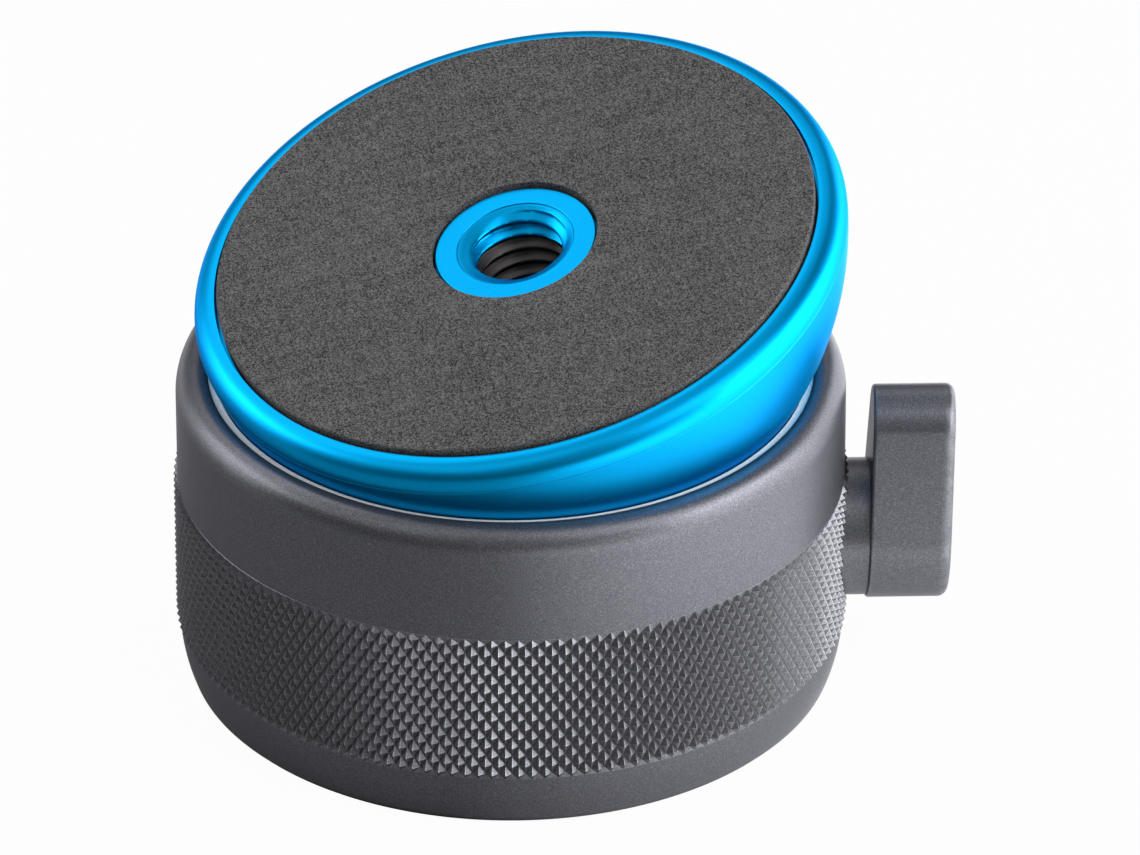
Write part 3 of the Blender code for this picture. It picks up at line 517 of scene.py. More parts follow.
def make_grey(name):
    material, tree, shader, vector = new_material(name, Metallic=0.75, IOR=1.5)
    shader.inputs["Specular Tint"].default_value = full(GREY_EDGE)
    grain = use_group(tree, GRAIN, {"Vector": vector, "Size": GREY_GRAIN})
    smudge = use_group(tree, SMUDGE, {"Vector": vector})["Mask"]
    wear = wear_mask(tree, vector, GREY_WEAR)
    tone = mix_colour(tree, grain["Specks"], GREY_PIT, GREY)
    colour = mix_colour(tree, wear, tone, GREY_WORN)
    tree.links.new(colour, shader.inputs["Base Color"])
    rough = spread(tree, grain["Height"], 0.4, 1.1, 0.30, 0.38)
    rough = calc(tree, "MULTIPLY_ADD", smudge, 0.05, rough)
    tree.links.new(rough, shader.inputs["Roughness"])
    bump(tree, shader, grain["Height"], 0.35, 0.02 * MM)
    return material


# %% Knurled grey, with a painted highlight along the ridges
KNURL_BOTTOM = 5.3 * MM
KNURL_TOP = 19.75 * MM
KNURL_BEVEL = 0.55 * MM
KNURL_DIAMONDS = 160
KNURL_HALF_ROWS = 14
RIDGE_WIDTH = 0.045 * MM
KNURL_LIGHT = (0.205, 0.207, 0.225)
KNURL_DARK = (0.105, 0.106, 0.120)
# The ridge colour below is a painted highlight laid along the knurl's ridges.
RIDGE_PAINTED_HIGHLIGHT = (0.50, 0.50, 0.52)


def near_line(tree, distance, spacing):
    """One on every line of a row of lines, falling to zero at the ridge's width beside it."""
    turns = calc(tree, "DIVIDE", distance, spacing)
    away = calc(tree, "ABSOLUTE", calc(tree, "WRAP", turns, 0.5, -0.5))
    from_line = calc(tree, "MULTIPLY", away, spacing)
    return spread(tree, from_line, 0.3 * RIDGE_WIDTH, RIDGE_WIDTH, 1.0, 0.0)


def painted_ridge_highlights(tree, parts):
    """The painted highlight lines that run up the tips of the pyramids and, half as strong, across
    them.
    """
    around = calc(tree, "MULTIPLY", calc(tree, "ARCTAN2", parts["Y"], parts["X"]), BODY_RADIUS)
    column = 2 * pi * BODY_RADIUS / (2 * KNURL_DIAMONDS)
    row = (KNURL_TOP - KNURL_BOTTOM - 2 * KNURL_BEVEL) / KNURL_HALF_ROWS
    upright = near_line(tree, around, column)
    level = near_line(tree, calc(tree, "SUBTRACT", parts["Z"], KNURL_BOTTOM + KNURL_BEVEL), row)
    return calc(tree, "MAXIMUM", upright, calc(tree, "MULTIPLY", level, 0.5))


def proud_part(tree, parts):
    """How strong the painted ridge highlight is: low in the grooves, one at the tips, and zero on the
    bevels at both ends of the band.
    """
    height = spread(tree, from_axis(tree, parts), BODY_RADIUS - KNURL_SUNK, CREST_RADIUS, 0.15, 1.0)
    middle = (KNURL_BOTTOM + KNURL_TOP) / 2
    from_middle = calc(tree, "ABSOLUTE", calc(tree, "SUBTRACT", parts["Z"], middle))
    is_inside = calc(tree, "LESS_THAN", from_middle, KNURL_TOP - middle - KNURL_BEVEL)
    return calc(tree, "MULTIPLY", height, is_inside)


def make_knurl_with_painted_ridges(name):
    """The cut pyramids are a little lighter than the band, and a lighter colour along their ridges is a
    painted highlight.
    """
    material, tree, shader, vector = new_material(name, Metallic=0.75, Roughness=0.28, IOR=1.5)
    shader.inputs["Specular Tint"].default_value = full(GREY_EDGE)
    grain = use_group(tree, GRAIN, {"Vector": vector, "Size": GREY_GRAIN})
    parts = parts_of(tree, vector)
    # The ridge mask paints a highlight along the ridges, strongest at the tips.
    ridge = calc(tree, "MULTIPLY", painted_ridge_highlights(tree, parts), proud_part(tree, parts))
    ridge = calc(tree, "MULTIPLY", ridge, spread(tree, grain["Height"], 0.5, 0.9, 0.45, 1.0))
    tone = mix_colour(tree, grain["Specks"], KNURL_DARK, KNURL_LIGHT)
    tree.links.new(mix_colour(tree, ridge, tone, RIDGE_PAINTED_HIGHLIGHT), shader.inputs["Base Color"])
    bump(tree, shader, grain["Height"], 0.25, 0.015 * MM)
    return material


# %% Dark fibrous pad
PAD_DARK = (0.005, 0.005, 0.0055)
PAD_LIGHT = (0.152, 0.152, 0.154)
PAD_SPECK = 0.13 * MM
STREAK_STRETCH = 9.0
PAD_STREAKS = ((8, 0.9 * MM, 0.13), (-78, 0.2 * MM, 0.17))


def make_pad_finish():
    """Salt and pepper speckle of a pressed fibre pad, with the faint streaks of its weave."""
    material, tree, shader, vector = new_material(
        "pad_fibre", BALL_FRAME, Metallic=0.0, IOR=1.45, Specular_IOR_Level=0.35
    )
    speck = noise(tree, vector, 1 / PAD_SPECK, detail=1.0, roughness=0.6)
    mixed = speck
    for heading, width, amount in PAD_STREAKS:
        sockets = {
            "Vector": vector,
            "Rotation": (0, 0, radians(heading)),
            "Scale": (STREAK_STRETCH, 1.0, 1.0),
        }
        along = add_node(tree, "ShaderNodeMapping", sockets, vector_type="TEXTURE").outputs[0]
        mixed = calc(tree, "MULTIPLY_ADD", noise(tree, along, 1 / width), amount, mixed)
    smudge = use_group(tree, SMUDGE, {"Vector": vector})["Mask"]
    mixed = calc(tree, "MULTIPLY_ADD", smudge, 0.03, mixed)
    colour = mix_colour(tree, spread(tree, mixed, 0.50, 0.92), PAD_DARK, PAD_LIGHT)
    tree.links.new(colour, shader.inputs["Base Color"])
    tree.links.new(spread(tree, speck, 0.3, 0.7, 0.9, 0.72), shader.inputs["Roughness"])
    bump(tree, shader, mixed, 0.5, 0.06 * MM)
    return material


# %% Plain metals and polymers
METAL_LINES = 0.12 * MM
POLYMER_GRAIN = 0.2 * MM


def make_turned_metal(name, light, dark, roughness, place=UPRIGHT):
    material, tree, shader, vector = new_material(name, place, Metallic=1.0)
    lines = use_group(tree, TURNING, {"Vector": vector, "Spacing": METAL_LINES})["Height"]
    smudge = use_group(tree, SMUDGE, {"Vector": vector})["Mask"]
    colour = mix_colour(tree, spread(tree, lines, 0.3, 0.7), dark, light)
    tree.links.new(colour, shader.inputs["Base Color"])
    rough = spread(tree, lines, 0.3, 0.7, roughness, roughness + 0.1)
    rough = calc(tree, "MULTIPLY_ADD", smudge, 0.12, rough)
    tree.links.new(rough, shader.inputs["Roughness"])
    bump(tree, shader, lines, 0.2, 0.015 * MM)
    return material


def make_polymer(name, light, dark, roughness):
    material, tree, shader, vector = new_material(name, Metallic=0.0)
    grain = use_group(tree, GRAIN, {"Vector": vector, "Size": POLYMER_GRAIN})
    smudge = use_group(tree, SMUDGE, {"Vector": vector})["Mask"]
    tone = mix_colour(tree, grain["Specks"], dark, light)
    colour = mix_colour(tree, calc(tree, "MULTIPLY", smudge, 0.4), tone, dark)
    tree.links.new(colour, shader.inputs["Base Color"])
    rough = spread(tree, smudge, 0.0, 1.0, roughness, roughness + 0.1)
    tree.links.new(rough, shader.inputs["Roughness"])
    bump(tree, shader, grain["Height"], 0.2, 0.01 * MM)
    return material


# %% All finishes, each with a light tone, a dark tone and a roughness
blue = make_blue("blue_anodised", BALL_FRAME)
grey = make_grey("blasted_grey")
knurl_with_painted_ridges = make_knurl_with_painted_ridges("knurled_grey_painted_ridges")
pad_fibre = make_pad_finish()
steel = make_turned_metal("turned_steel", (0.62, 0.62, 0.63), (0.45, 0.45, 0.46), 0.25)
screw_steel = make_turned_metal("screw_steel", (0.34, 0.34, 0.35), (0.22, 0.22, 0.23), 0.3)
black_steel = make_turned_metal(
    "blackened_steel", (0.05, 0.05, 0.052), (0.018, 0.018, 0.019), 0.32, BALL_FRAME
)
insert_steel = make_turned_metal(
    "insert_steel", (0.085, 0.08, 0.078), (0.045, 0.042, 0.042), 0.3, BALL_FRAME
)
bronze = make_turned_metal("bearing_bronze", (0.6, 0.39, 0.17), (0.42, 0.26, 0.1), 0.32)
pale_polymer = make_polymer("pale_polymer", (0.92, 0.89, 0.81), (0.82, 0.79, 0.72), 0.42)
dark_polymer = make_polymer("dark_polymer", (0.035, 0.035, 0.037), (0.02, 0.02, 0.021), 0.45)
print("finishes, with the CAD model's own:", len(bpy.data.materials))


# %% Helper to dress a piece
def place_piece(piece, material, body, slot, *nodes):
    """Dress a finished piece, attach it to what it rides on and hide the CAD nodes it stands for."""
    piece.data.materials.clear()
    piece.data.materials.append(material)
    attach(piece, body)
    for node in nodes:
        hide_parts(node)
    return report(piece)


# %% [markdown]
# ## The camera plate and the ball
# The ball is turned in two halves. The camera plate carries the flat face, the rounded rim and
# the socket's collar. The seam to the ball's lower shell shows as a hair line just under the
# rim. A sphere cut by planes would give the rough form, but not the rim's fine roundings, so
# both are turned again here from the same outline as the CAD pieces. Heights count from the
# ball's centre along its axis.

# %% Sizes of the camera plate
FACE = -2.0 * MM
RIM_ROUNDING = 2.04 * MM
RIM_HEIGHT = FACE - RIM_ROUNDING
RIM_RADIUS = sqrt((BALL_RADIUS - RIM_ROUNDING) ** 2 - RIM_HEIGHT ** 2)
RIM_END = atan2(RIM_HEIGHT, RIM_RADIUS)
SEAM = BALL_RADIUS * sin(RIM_END)
RECESS_RADIUS = RIM_RADIUS - 0.2 * MM
PAD_TOP = FACE + 0.5 * MM
PAD_FLOOR = PAD_TOP - 1.7 * MM
BOSS_RADIUS = 7.3 * MM
MOUTH_RADIUS = 5.3 * MM
SPIGOT_RADIUS = 26.7 * MM
SPIGOT_BOTTOM = -8.0 * MM
SPIGOT_INNER = 22.9 * MM
PLATE_UNDERSIDE = PAD_FLOOR - 3.3 * MM
COLLAR_RADIUS = 9.1 * MM
COLLAR_BORE = 6.9 * MM
COLLAR_BOTTOM = -12.05 * MM
BLUE_SOCKET_END = FACE - 2.7 * MM
SEAM_GAP = 0.04 * MM
SEAM_DEPTH = 0.5 * MM
print("rim radius in mm:", round((RIM_RADIUS + RIM_ROUNDING) / MM, 2))

# %% Camera plate
plate_outline = [
    (MOUTH_RADIUS, FACE, 0.08 * MM),
    (BOSS_RADIUS, FACE, 0.1 * MM),
    (BOSS_RADIUS, PAD_FLOOR, 0),
    (RECESS_RADIUS, PAD_FLOOR, 0),
    (RECESS_RADIUS, FACE, 0.05 * MM),
]
plate_outline += arc((RIM_RADIUS, RIM_HEIGHT), RIM_ROUNDING, pi / 2, RIM_END, 20)
plate_outline += [
    (BALL_RADIUS * cos(RIM_END) - SEAM_DEPTH, SEAM, 0),
    (SPIGOT_RADIUS, SEAM, 0),
    (SPIGOT_RADIUS, SPIGOT_BOTTOM, 0.2 * MM),
    (SPIGOT_INNER, SPIGOT_BOTTOM, 0.2 * MM),
    (SPIGOT_INNER, PLATE_UNDERSIDE, 0),
    (COLLAR_RADIUS, PLATE_UNDERSIDE, 0),
    (COLLAR_RADIUS, COLLAR_BOTTOM, 0.2 * MM),
    (COLLAR_BORE, COLLAR_BOTTOM, 0.1 * MM),
    (COLLAR_BORE, BLUE_SOCKET_END, 0),
    (MOUTH_RADIUS, BLUE_SOCKET_END, 0),
]
camera_plate = turned("camera_plate", plate_outline, place=BALL_FRAME)
place_piece(camera_plate, blue, "ball", "blue_anodised", "top_plate")

# %% Ball flank
FOOT_RADIUS = 19.4 * MM
LEDGE = -8.3 * MM
LEDGE_INNER = 22.6 * MM
BALL_WALL = 4.0 * MM
BALL_INNER_RADIUS = BALL_RADIUS - BALL_WALL
FOOT = -sqrt(BALL_RADIUS ** 2 - FOOT_RADIUS ** 2)
FLANK_TOP = SEAM - SEAM_GAP
flank_start = asin(FOOT_RADIUS / BALL_RADIUS)
flank_stop = pi / 2 + asin(FLANK_TOP / BALL_RADIUS)
flank_outline = bowl(BALL_RADIUS, flank_start, flank_stop, 60)
flank_outline[-1] = (*flank_outline[-1][:2], 0.08 * MM)
flank_outline += [
    (SPIGOT_RADIUS + GAP, FLANK_TOP, 0),
    (SPIGOT_RADIUS + GAP, LEDGE, 0),
    (LEDGE_INNER, LEDGE, 0),
]
inner_stop = atan2(sqrt(BALL_INNER_RADIUS ** 2 - FOOT ** 2), -FOOT)
flank_outline += bowl(BALL_INNER_RADIUS, asin(LEDGE_INNER / BALL_INNER_RADIUS), inner_stop, 16)
ball_flank = turned("ball_flank", flank_outline, place=BALL_FRAME)
place_piece(ball_flank, blue, "ball", "blue_anodised", "ball_shell")

# %% [markdown]
# ## The screw thread
# The thread in a socket winds along a helix. A Screw modifier could sweep its profile, but it
# would leave open ends. Here Geometry Nodes grow it: a flat grid is wrapped into a sleeve, and
# each point of the bore moves in or out by how far it is along the thread. At the mouth a cone
# opens the bore. The sleeve's outer wall uses the first and last rows, so the mesh closes on
# itself. One tree serves the blue turns at the mouth, the dark insert and the tripod bush.

# %% Nodes to wrap a grid into a sleeve
WELD = 0.002 * MM


def wrap_grid(tree, columns, rows):
    """A grid whose points know their column and row, counted from zero."""
    sockets = {
        "Size X": 1.0,
        "Size Y": 1.0,
        "Vertices X": calc(tree, "ADD", columns, 1.0),
        "Vertices Y": calc(tree, "ADD", rows, 1.0),
    }
    grid = add_node(tree, "GeometryNodeMeshGrid", sockets).outputs["Mesh"]
    spot = parts_of(tree, add_node(tree, "GeometryNodeInputPosition").outputs[0])
    column = calc(tree, "MULTIPLY", calc(tree, "ADD", spot["X"], 0.5), columns)
    column = calc(tree, "ROUND", column)
    row = calc(tree, "MULTIPLY", calc(tree, "ADD", spot["Y"], 0.5), rows)
    row = calc(tree, "ROUND", row)
    turn = calc(tree, "MULTIPLY", calc(tree, "DIVIDE", column, columns), 2 * pi)
    return grid, column, row, turn


def finish_tree(tree, geometry, surface, out):
    """End a tree as the export needs it: no instances, and the material set."""
    whole = add_node(tree, "GeometryNodeRealizeInstances", {"Geometry": geometry}).outputs[0]
    sockets = {"Geometry": whole, "Material": surface}
    tree.links.new(add_node(tree, "GeometryNodeSetMaterial", sockets).outputs[0], out)


def close_sleeve(tree, grid, turn, radius, height, surface, out):
    """Move the grid's points to the sleeve, weld its seams and give it its material."""
    across = calc(tree, "MULTIPLY", radius, calc(tree, "COSINE", turn))
    along = calc(tree, "MULTIPLY", radius, calc(tree, "SINE", turn))
    sockets = {"Geometry": grid, "Position": vector_of(tree, X=across, Y=along, Z=height)}
    moved = add_node(tree, "GeometryNodeSetPosition", sockets).outputs[0]
    sockets = {"Geometry": moved, "Distance": WELD}
    welded = add_node(tree, "GeometryNodeMergeByDistance", sockets).outputs[0]
    split = add_node(tree, "GeometryNodeTriangulate", {"Mesh": welded}).outputs[0]
    finish_tree(tree, split, surface, out)


def choose(tree, test, when_false, when_true):
    sockets = {"Switch": test, "False": when_false, "True": when_true}
    return add_node(tree, "GeometryNodeSwitch", sockets, input_type="FLOAT").outputs[0]


def sleeve_rows(tree, row, rows):
    """Which rows are the outer or inner wall, and how far up the others lie, from zero to one."""
    last = calc(tree, "SUBTRACT", rows, 2.0)
    is_first = calc(tree, "LESS_THAN", row, 0.5)
    is_past = calc(tree, "GREATER_THAN", row, calc(tree, "ADD", last, 0.5))
    is_wall = calc(tree, "ADD", is_first, is_past)
    span = calc(tree, "SUBTRACT", last, 1.0)
    share = clamped(tree, calc(tree, "DIVIDE", calc(tree, "SUBTRACT", row, 1.0), span))
    is_last = calc(tree, "GREATER_THAN", row, calc(tree, "ADD", last, 1.5))
    return is_wall, choose(tree, is_last, share, 0.0)


# %% Thread tree
INTEGER = "NodeSocketInt"
MATERIAL = "NodeSocketMaterial"
GEOMETRY = [("Geometry", "NodeSocketGeometry")]
THREAD_START = 0.16
TURNS_BELOW = 1000.0
ROOT_SHARE = 0.86
CREST_SHARE = 0.14
MOUTH_SLOPE = 2.5


def make_thread_tree():
    lengths = ["Minor Radius", "Depth", "Pitch", "Wall Radius", "Bottom", "Top", "Mouth Radius"]
    inputs = [("Columns", INTEGER, None), ("Rows", INTEGER, None)]
    inputs += [(length, FLOAT, None) for length in lengths]
    inputs += [("Surface", MATERIAL, None)]
    tree, get, put = new_tree("threaded_sleeve", "GeometryNodeTree", inputs, GEOMETRY)
    grid, _column, row, turn = wrap_grid(tree, get["Columns"], get["Rows"])
    is_wall, share = sleeve_rows(tree, row, get["Rows"])
    length = calc(tree, "SUBTRACT", get["Top"], get["Bottom"])
    height = calc(tree, "MULTIPLY_ADD", share, length, get["Bottom"])
    along = calc(tree, "DIVIDE", height, get["Pitch"])
    turns = calc(tree, "SUBTRACT", along, calc(tree, "DIVIDE", turn, 2 * pi))
    phase = calc(tree, "FRACT", calc(tree, "ADD", turns, TURNS_BELOW + THREAD_START))
    ridge = calc(tree, "ABSOLUTE", calc(tree, "MULTIPLY_ADD", phase, 2.0, -1.0))
    cut = spread(tree, ridge, ROOT_SHARE, CREST_SHARE)
    bore = calc(tree, "MULTIPLY_ADD", cut, get["Depth"], get["Minor Radius"])
    from_top = calc(tree, "SUBTRACT", height, get["Top"])
    cone = calc(tree, "MULTIPLY_ADD", from_top, MOUTH_SLOPE, get["Mouth Radius"])
    bore = calc(tree, "MAXIMUM", bore, cone)
    radius = choose(tree, is_wall, bore, get["Wall Radius"])
    close_sleeve(tree, grid, turn, radius, height, get["Surface"], put["Geometry"])
    return tree


thread_tree = make_thread_tree()
print("nodes in the thread tree:", len(thread_tree.nodes))

# %% Threaded sleeve
ROWS_PER_TURN = 14


def threaded_sleeve(name, bottom, top, wall, surface, place, mouth=0.0):
    rows = int((top - bottom) / THREAD_PITCH * ROWS_PER_TURN) + 4
    sizes = {
        "Columns": SMALL_SIDES,
        "Rows": rows,
        "Minor Radius": THREAD_MINOR,
        "Depth": THREAD_DEPTH,
        "Pitch": THREAD_PITCH,
        "Wall Radius": wall,
        "Bottom": bottom,
        "Top": top,
        "Mouth Radius": mouth,
        "Surface": surface,
    }
    return outward(grown(name, thread_tree, sizes), place, smooth=True)


# %% Blue turns at the mouth
SLEEVE_WALL = MOUTH_RADIUS - 0.02 * MM
MOUTH_CONE = SLEEVE_WALL - 0.04 * MM
TURNS_TOP = FACE - 0.1 * MM
socket_turns = threaded_sleeve(
    "socket_turns", BLUE_SOCKET_END, TURNS_TOP, SLEEVE_WALL, blue, BALL_FRAME, MOUTH_CONE
)
place_piece(socket_turns, blue, "ball", "blue_anodised")

# %% Dark insert and its flange
INSERT_TOP = BLUE_SOCKET_END - 0.05 * MM
INSERT_BOTTOM = -13.147 * MM
INSERT_RADIUS = 6.6 * MM
INSERT_FLANGE = 8.4 * MM
FLANGE_TOP = INSERT_BOTTOM + 0.8 * MM
FLANGE_INNER = INSERT_RADIUS - 0.1 * MM
dark_insert = threaded_sleeve(
    "dark_insert", INSERT_BOTTOM, INSERT_TOP, INSERT_RADIUS, insert_steel, BALL_FRAME
)
place_piece(dark_insert, insert_steel, "ball", "black_steel", "thread_insert")
flange_outline = [
    (FLANGE_INNER, INSERT_BOTTOM, 0),
    (INSERT_FLANGE, INSERT_BOTTOM, 0.1 * MM),
    (INSERT_FLANGE, FLANGE_TOP, 0.1 * MM),
    (FLANGE_INNER, FLANGE_TOP, 0),
]
insert_flange = turned("insert_flange", flange_outline, SMALL_SIDES, BALL_FRAME)
place_piece(insert_flange, insert_steel, "ball", "black_steel")

# %% [markdown]
# ## The pad
# The pad is a thin pressed sheet that stands half a millimetre proud of the rim, so that a
# camera rests on it and not on metal. A disc painted on the plate would do from afar, but here
# the pad has its own thickness, and its cut edges are slightly broken and cast a fine shadow.

# %% Pad
PAD_INNER = BOSS_RADIUS + 0.25 * MM
PAD_OUTER = RECESS_RADIUS - 0.27 * MM
PAD_UNDERSIDE = PAD_FLOOR + 0.05 * MM
pad_outline = [
    (PAD_INNER, PAD_UNDERSIDE, 0),
    (PAD_OUTER, PAD_UNDERSIDE, 0),
    (PAD_OUTER, PAD_TOP, 0.18 * MM),
    (PAD_INNER, PAD_TOP, 0.1 * MM),
]
camera_pad = turned("camera_pad", pad_outline, place=BALL_FRAME)
place_piece(camera_pad, pad_fibre, "ball", "pad", "top_pad")

# %% [markdown]
# ## The cup
# The cup is one turned body: a foot that tucks in, a knurled grip band, a smooth upper band and
# a large rounded shoulder. Its bore takes the pale ring that the ball rides in. A cylinder with
# loop cuts could be pushed into this form, but an outline keeps every size in view. The side
# has a flat spot face where the lever's shaft comes out, cut with a Boolean as a mill would.

# %% Sizes of the cup
FOOT_TUCK = 1.1 * MM
FOOT_EDGE = 0.6 * MM
SHOULDER_REACH = 1.95 * MM
SHOULDER_RISE = 2.6 * MM
RING_BELOW_LIP = 0.52 * MM
RING_WALL = 0.62 * MM
BASE_RECESS = 24.1 * MM
RECESS_TOP = 4.3 * MM
DRAW_BORE = 11.5 * MM
DISH_RADIUS = BALL_RADIUS + 2 * GAP
RING_SPHERE = BALL_RADIUS + FINE_GAP
RING_TOP = LIP_HEIGHT - RING_BELOW_LIP
RING_DROP = BALL_CENTRE.z - RING_TOP
RING_HEIGHT = 4.5 * MM
RING_BOTTOM = RING_TOP - RING_HEIGHT
RING_RADIUS = sqrt(RING_SPHERE ** 2 - RING_DROP ** 2) + RING_WALL
RING_POCKET = RING_RADIUS + FINE_GAP
SHOULDER_CENTRE = BODY_RADIUS - SHOULDER_REACH
KNURL_CORE = BODY_RADIUS - 0.8 * MM
KNURL_LIP = 0.02 * MM
SHOULDER_STEPS = 24
print("shoulder centre radius in mm:", round(SHOULDER_CENTRE / MM, 2))


# %% Cup outline
def cup_outline():
    tuck = (FOOT_TUCK ** 2 + KNURL_BOTTOM ** 2) / (2 * FOOT_TUCK)
    tuck_from = asin((FOOT_EDGE - KNURL_BOTTOM) / tuck)
    foot_centre = BODY_RADIUS - FOOT_TUCK - FOOT_EDGE
    shoulder_end = pi / 2 - asin((RING_POCKET - SHOULDER_CENTRE) / SHOULDER_REACH)
    low = BALL_CENTRE.z - RING_BOTTOM + FINE_GAP
    dish_start = atan2(sqrt(DISH_RADIUS ** 2 - low ** 2), low)
    dish_stop = asin(DRAW_BORE / DISH_RADIUS)
    corners = [(BASE_RECESS, 0, 0.15 * MM), (foot_centre, 0, 0)]
    corners += arc((foot_centre, FOOT_EDGE), FOOT_EDGE, -pi / 2, 0, 6)[1:-1]
    corners += arc((BODY_RADIUS - tuck, KNURL_BOTTOM), tuck, tuck_from, 0, 12)
    corners += [
        (KNURL_CORE, KNURL_BOTTOM, 0),
        (KNURL_CORE, KNURL_TOP, 0),
        (BODY_RADIUS, KNURL_TOP, KNURL_LIP),
    ]
    for step in range(SHOULDER_STEPS + 1):
        turn = shoulder_end * step / SHOULDER_STEPS
        height = LIP_HEIGHT - SHOULDER_RISE * (1 - sin(turn))
        corners.append((SHOULDER_CENTRE + SHOULDER_REACH * cos(turn), height, 0))
    corners += [(RING_POCKET, RING_BOTTOM - FINE_GAP, 0)]
    corners += bowl(DISH_RADIUS, dish_start, dish_stop, 20, BALL_CENTRE.z)
    corners += [(DRAW_BORE, RECESS_TOP, 0.1 * MM), (BASE_RECESS, RECESS_TOP, 0)]
    return corners


# %% Side bore and finished cup
OVERRUN = 1.0 * MM
NECK_BORE = 2.7 * MM
NECK_BORE_END = 15.1 * MM
SHAFT_BORE = 4.3 * MM
SHAFT_BORE_END = 19.7 * MM
BUSH_POCKET = 5.8 * MM
SPOT_FACE = BODY_RADIUS - 1.8 * MM
SPOT_RADIUS = 6.32 * MM


def side_bore():
    """The stepped hole for the lever's shaft, with the spot face at its mouth."""
    corners = [
        (0, DRAW_BORE - OVERRUN, 0),
        (NECK_BORE, DRAW_BORE - OVERRUN, 0),
        (NECK_BORE, NECK_BORE_END, 0),
        (SHAFT_BORE, NECK_BORE_END, 0),
        (SHAFT_BORE, SHAFT_BORE_END, 0),
        (BUSH_POCKET, SHAFT_BORE_END, 0),
        (BUSH_POCKET, SPOT_FACE, 0),
        (SPOT_RADIUS, SPOT_FACE, 0),
        (SPOT_RADIUS, CREST_RADIUS + OVERRUN, 0),
        (0, CREST_RADIUS + OVERRUN, 0),
    ]
    return turned("side_bore", corners, SMALL_SIDES, LEVER_FRAME @ ALONG_X)


cup = combined(turned("cup", cup_outline()), side_bore())
place_piece(cup, grey, "root", "blasted_grey", "housing")

# %% [markdown]
# ## The knurl
# Two crossing sets of slanted grooves leave rows of small pyramids. Their tips and roots lie on
# a plain grid: each point is a tip or a root by turns, and every cell is split along the line
# between its two roots, which is the bottom of a groove. At both ends a narrow bevel leads from
# the smooth band out to the tips, and the grooves run out in it as teeth. A bump map is the
# usual short cut, but it leaves the outline smooth. Here Geometry Nodes wrap that grid around
# the band and close it behind, so the pyramids are real and catch the light.

# %% Knurl tree
END_ROWS = 7


def make_knurl_tree():
    radii = ["Tip Radius", "Root Radius", "Band Radius", "Back Radius"]
    inputs = [("Columns", INTEGER, None), ("Rows", INTEGER, None)]
    inputs += [(length, FLOAT, None) for length in radii + ["Bevel", "Bevel Lip", "Bottom", "Top"]]
    inputs += [("Surface", MATERIAL, None)]
    tree, get, put = new_tree("knurled_band", "GeometryNodeTree", inputs, GEOMETRY)
    grid, column, row, turn = wrap_grid(tree, get["Columns"], get["Rows"])
    is_back, share = sleeve_rows(tree, row, get["Rows"])
    levels = calc(tree, "SUBTRACT", get["Rows"], 3.0)
    level = calc(tree, "MULTIPLY", share, levels)
    from_end = calc(tree, "MINIMUM", level, calc(tree, "SUBTRACT", levels, level))
    is_rim = calc(tree, "LESS_THAN", from_end, 0.5)
    is_bevel = calc(tree, "LESS_THAN", from_end, 1.5)
    upper = calc(tree, "SIGN", calc(tree, "SUBTRACT", share, 0.5))
    inner_levels = calc(tree, "SUBTRACT", levels, 4.0)
    middle = clamped(tree, calc(tree, "DIVIDE", calc(tree, "SUBTRACT", level, 2.0), inner_levels))
    low = calc(tree, "ADD", get["Bottom"], get["Bevel"])
    span = calc(tree, "SUBTRACT", calc(tree, "SUBTRACT", get["Top"], get["Bevel"]), low)
    height = calc(tree, "MULTIPLY_ADD", middle, span, low)
    reach = choose(tree, is_bevel, 0.0, calc(tree, "SUBTRACT", get["Bevel"], get["Bevel Lip"]))
    reach = choose(tree, is_rim, reach, get["Bevel"])
    height = calc(tree, "MULTIPLY_ADD", upper, reach, height)
    by_turns = calc(tree, "FLOORED_MODULO", calc(tree, "ADD", column, row), 2.0)
    is_tip = calc(tree, "GREATER_THAN", by_turns, 0.5)
    front = choose(tree, is_tip, get["Root Radius"], get["Tip Radius"])
    front = choose(tree, is_bevel, front, calc(tree, "ADD", get["Band Radius"], get["Bevel Lip"]))
    front = choose(tree, is_rim, front, get["Band Radius"])
    radius = choose(tree, is_back, front, get["Back Radius"])
    close_sleeve(tree, grid, turn, radius, height, get["Surface"], put["Geometry"])
    return tree


# %% Knurled band
KNURL_PLAY = 0.01 * MM
knurl_sizes = {
    "Columns": 2 * KNURL_DIAMONDS,
    "Rows": KNURL_HALF_ROWS + END_ROWS,
    "Tip Radius": CREST_RADIUS,
    "Root Radius": BODY_RADIUS - KNURL_SUNK,
    "Band Radius": BODY_RADIUS - KNURL_PLAY,
    "Back Radius": KNURL_CORE + KNURL_PLAY,
    "Bevel": KNURL_BEVEL,
    "Bevel Lip": KNURL_LIP,
    "Bottom": KNURL_BOTTOM,
    "Top": KNURL_TOP,
    "Surface": knurl_with_painted_ridges,
}
knurl = outward(grown("knurl_band", make_knurl_tree(), knurl_sizes))
knurl = combined(knurl, side_bore())
for face in knurl.data.polygons:
    face.use_smooth = False
place_piece(knurl, knurl_with_painted_ridges, "root", "blasted_grey")

# %% [markdown]
# ## The pale ring
# The ball doesn't touch the cup. It rides in a ring of pale bearing polymer, of which only a
# thin top edge shows in the gap. A torus would be enough for that edge, but the real ring is
# hollowed to the ball's sphere, and so is this one.

# %% Pale ring
ring_low = BALL_CENTRE.z - RING_BOTTOM
ring_start = atan2(sqrt(RING_SPHERE ** 2 - ring_low ** 2), ring_low)
ring_stop = atan2(sqrt(RING_SPHERE ** 2 - RING_DROP ** 2), RING_DROP)
ring_outline = bowl(RING_SPHERE, ring_start, ring_stop, 12, BALL_CENTRE.z)
ring_outline += [(RING_RADIUS, RING_TOP, 0.04 * MM), (RING_RADIUS, RING_BOTTOM, 0.1 * MM)]
pale_ring = turned("pale_ring", ring_outline)
place_piece(pale_ring, pale_polymer, "root", "light_polymer", "seat_ring")

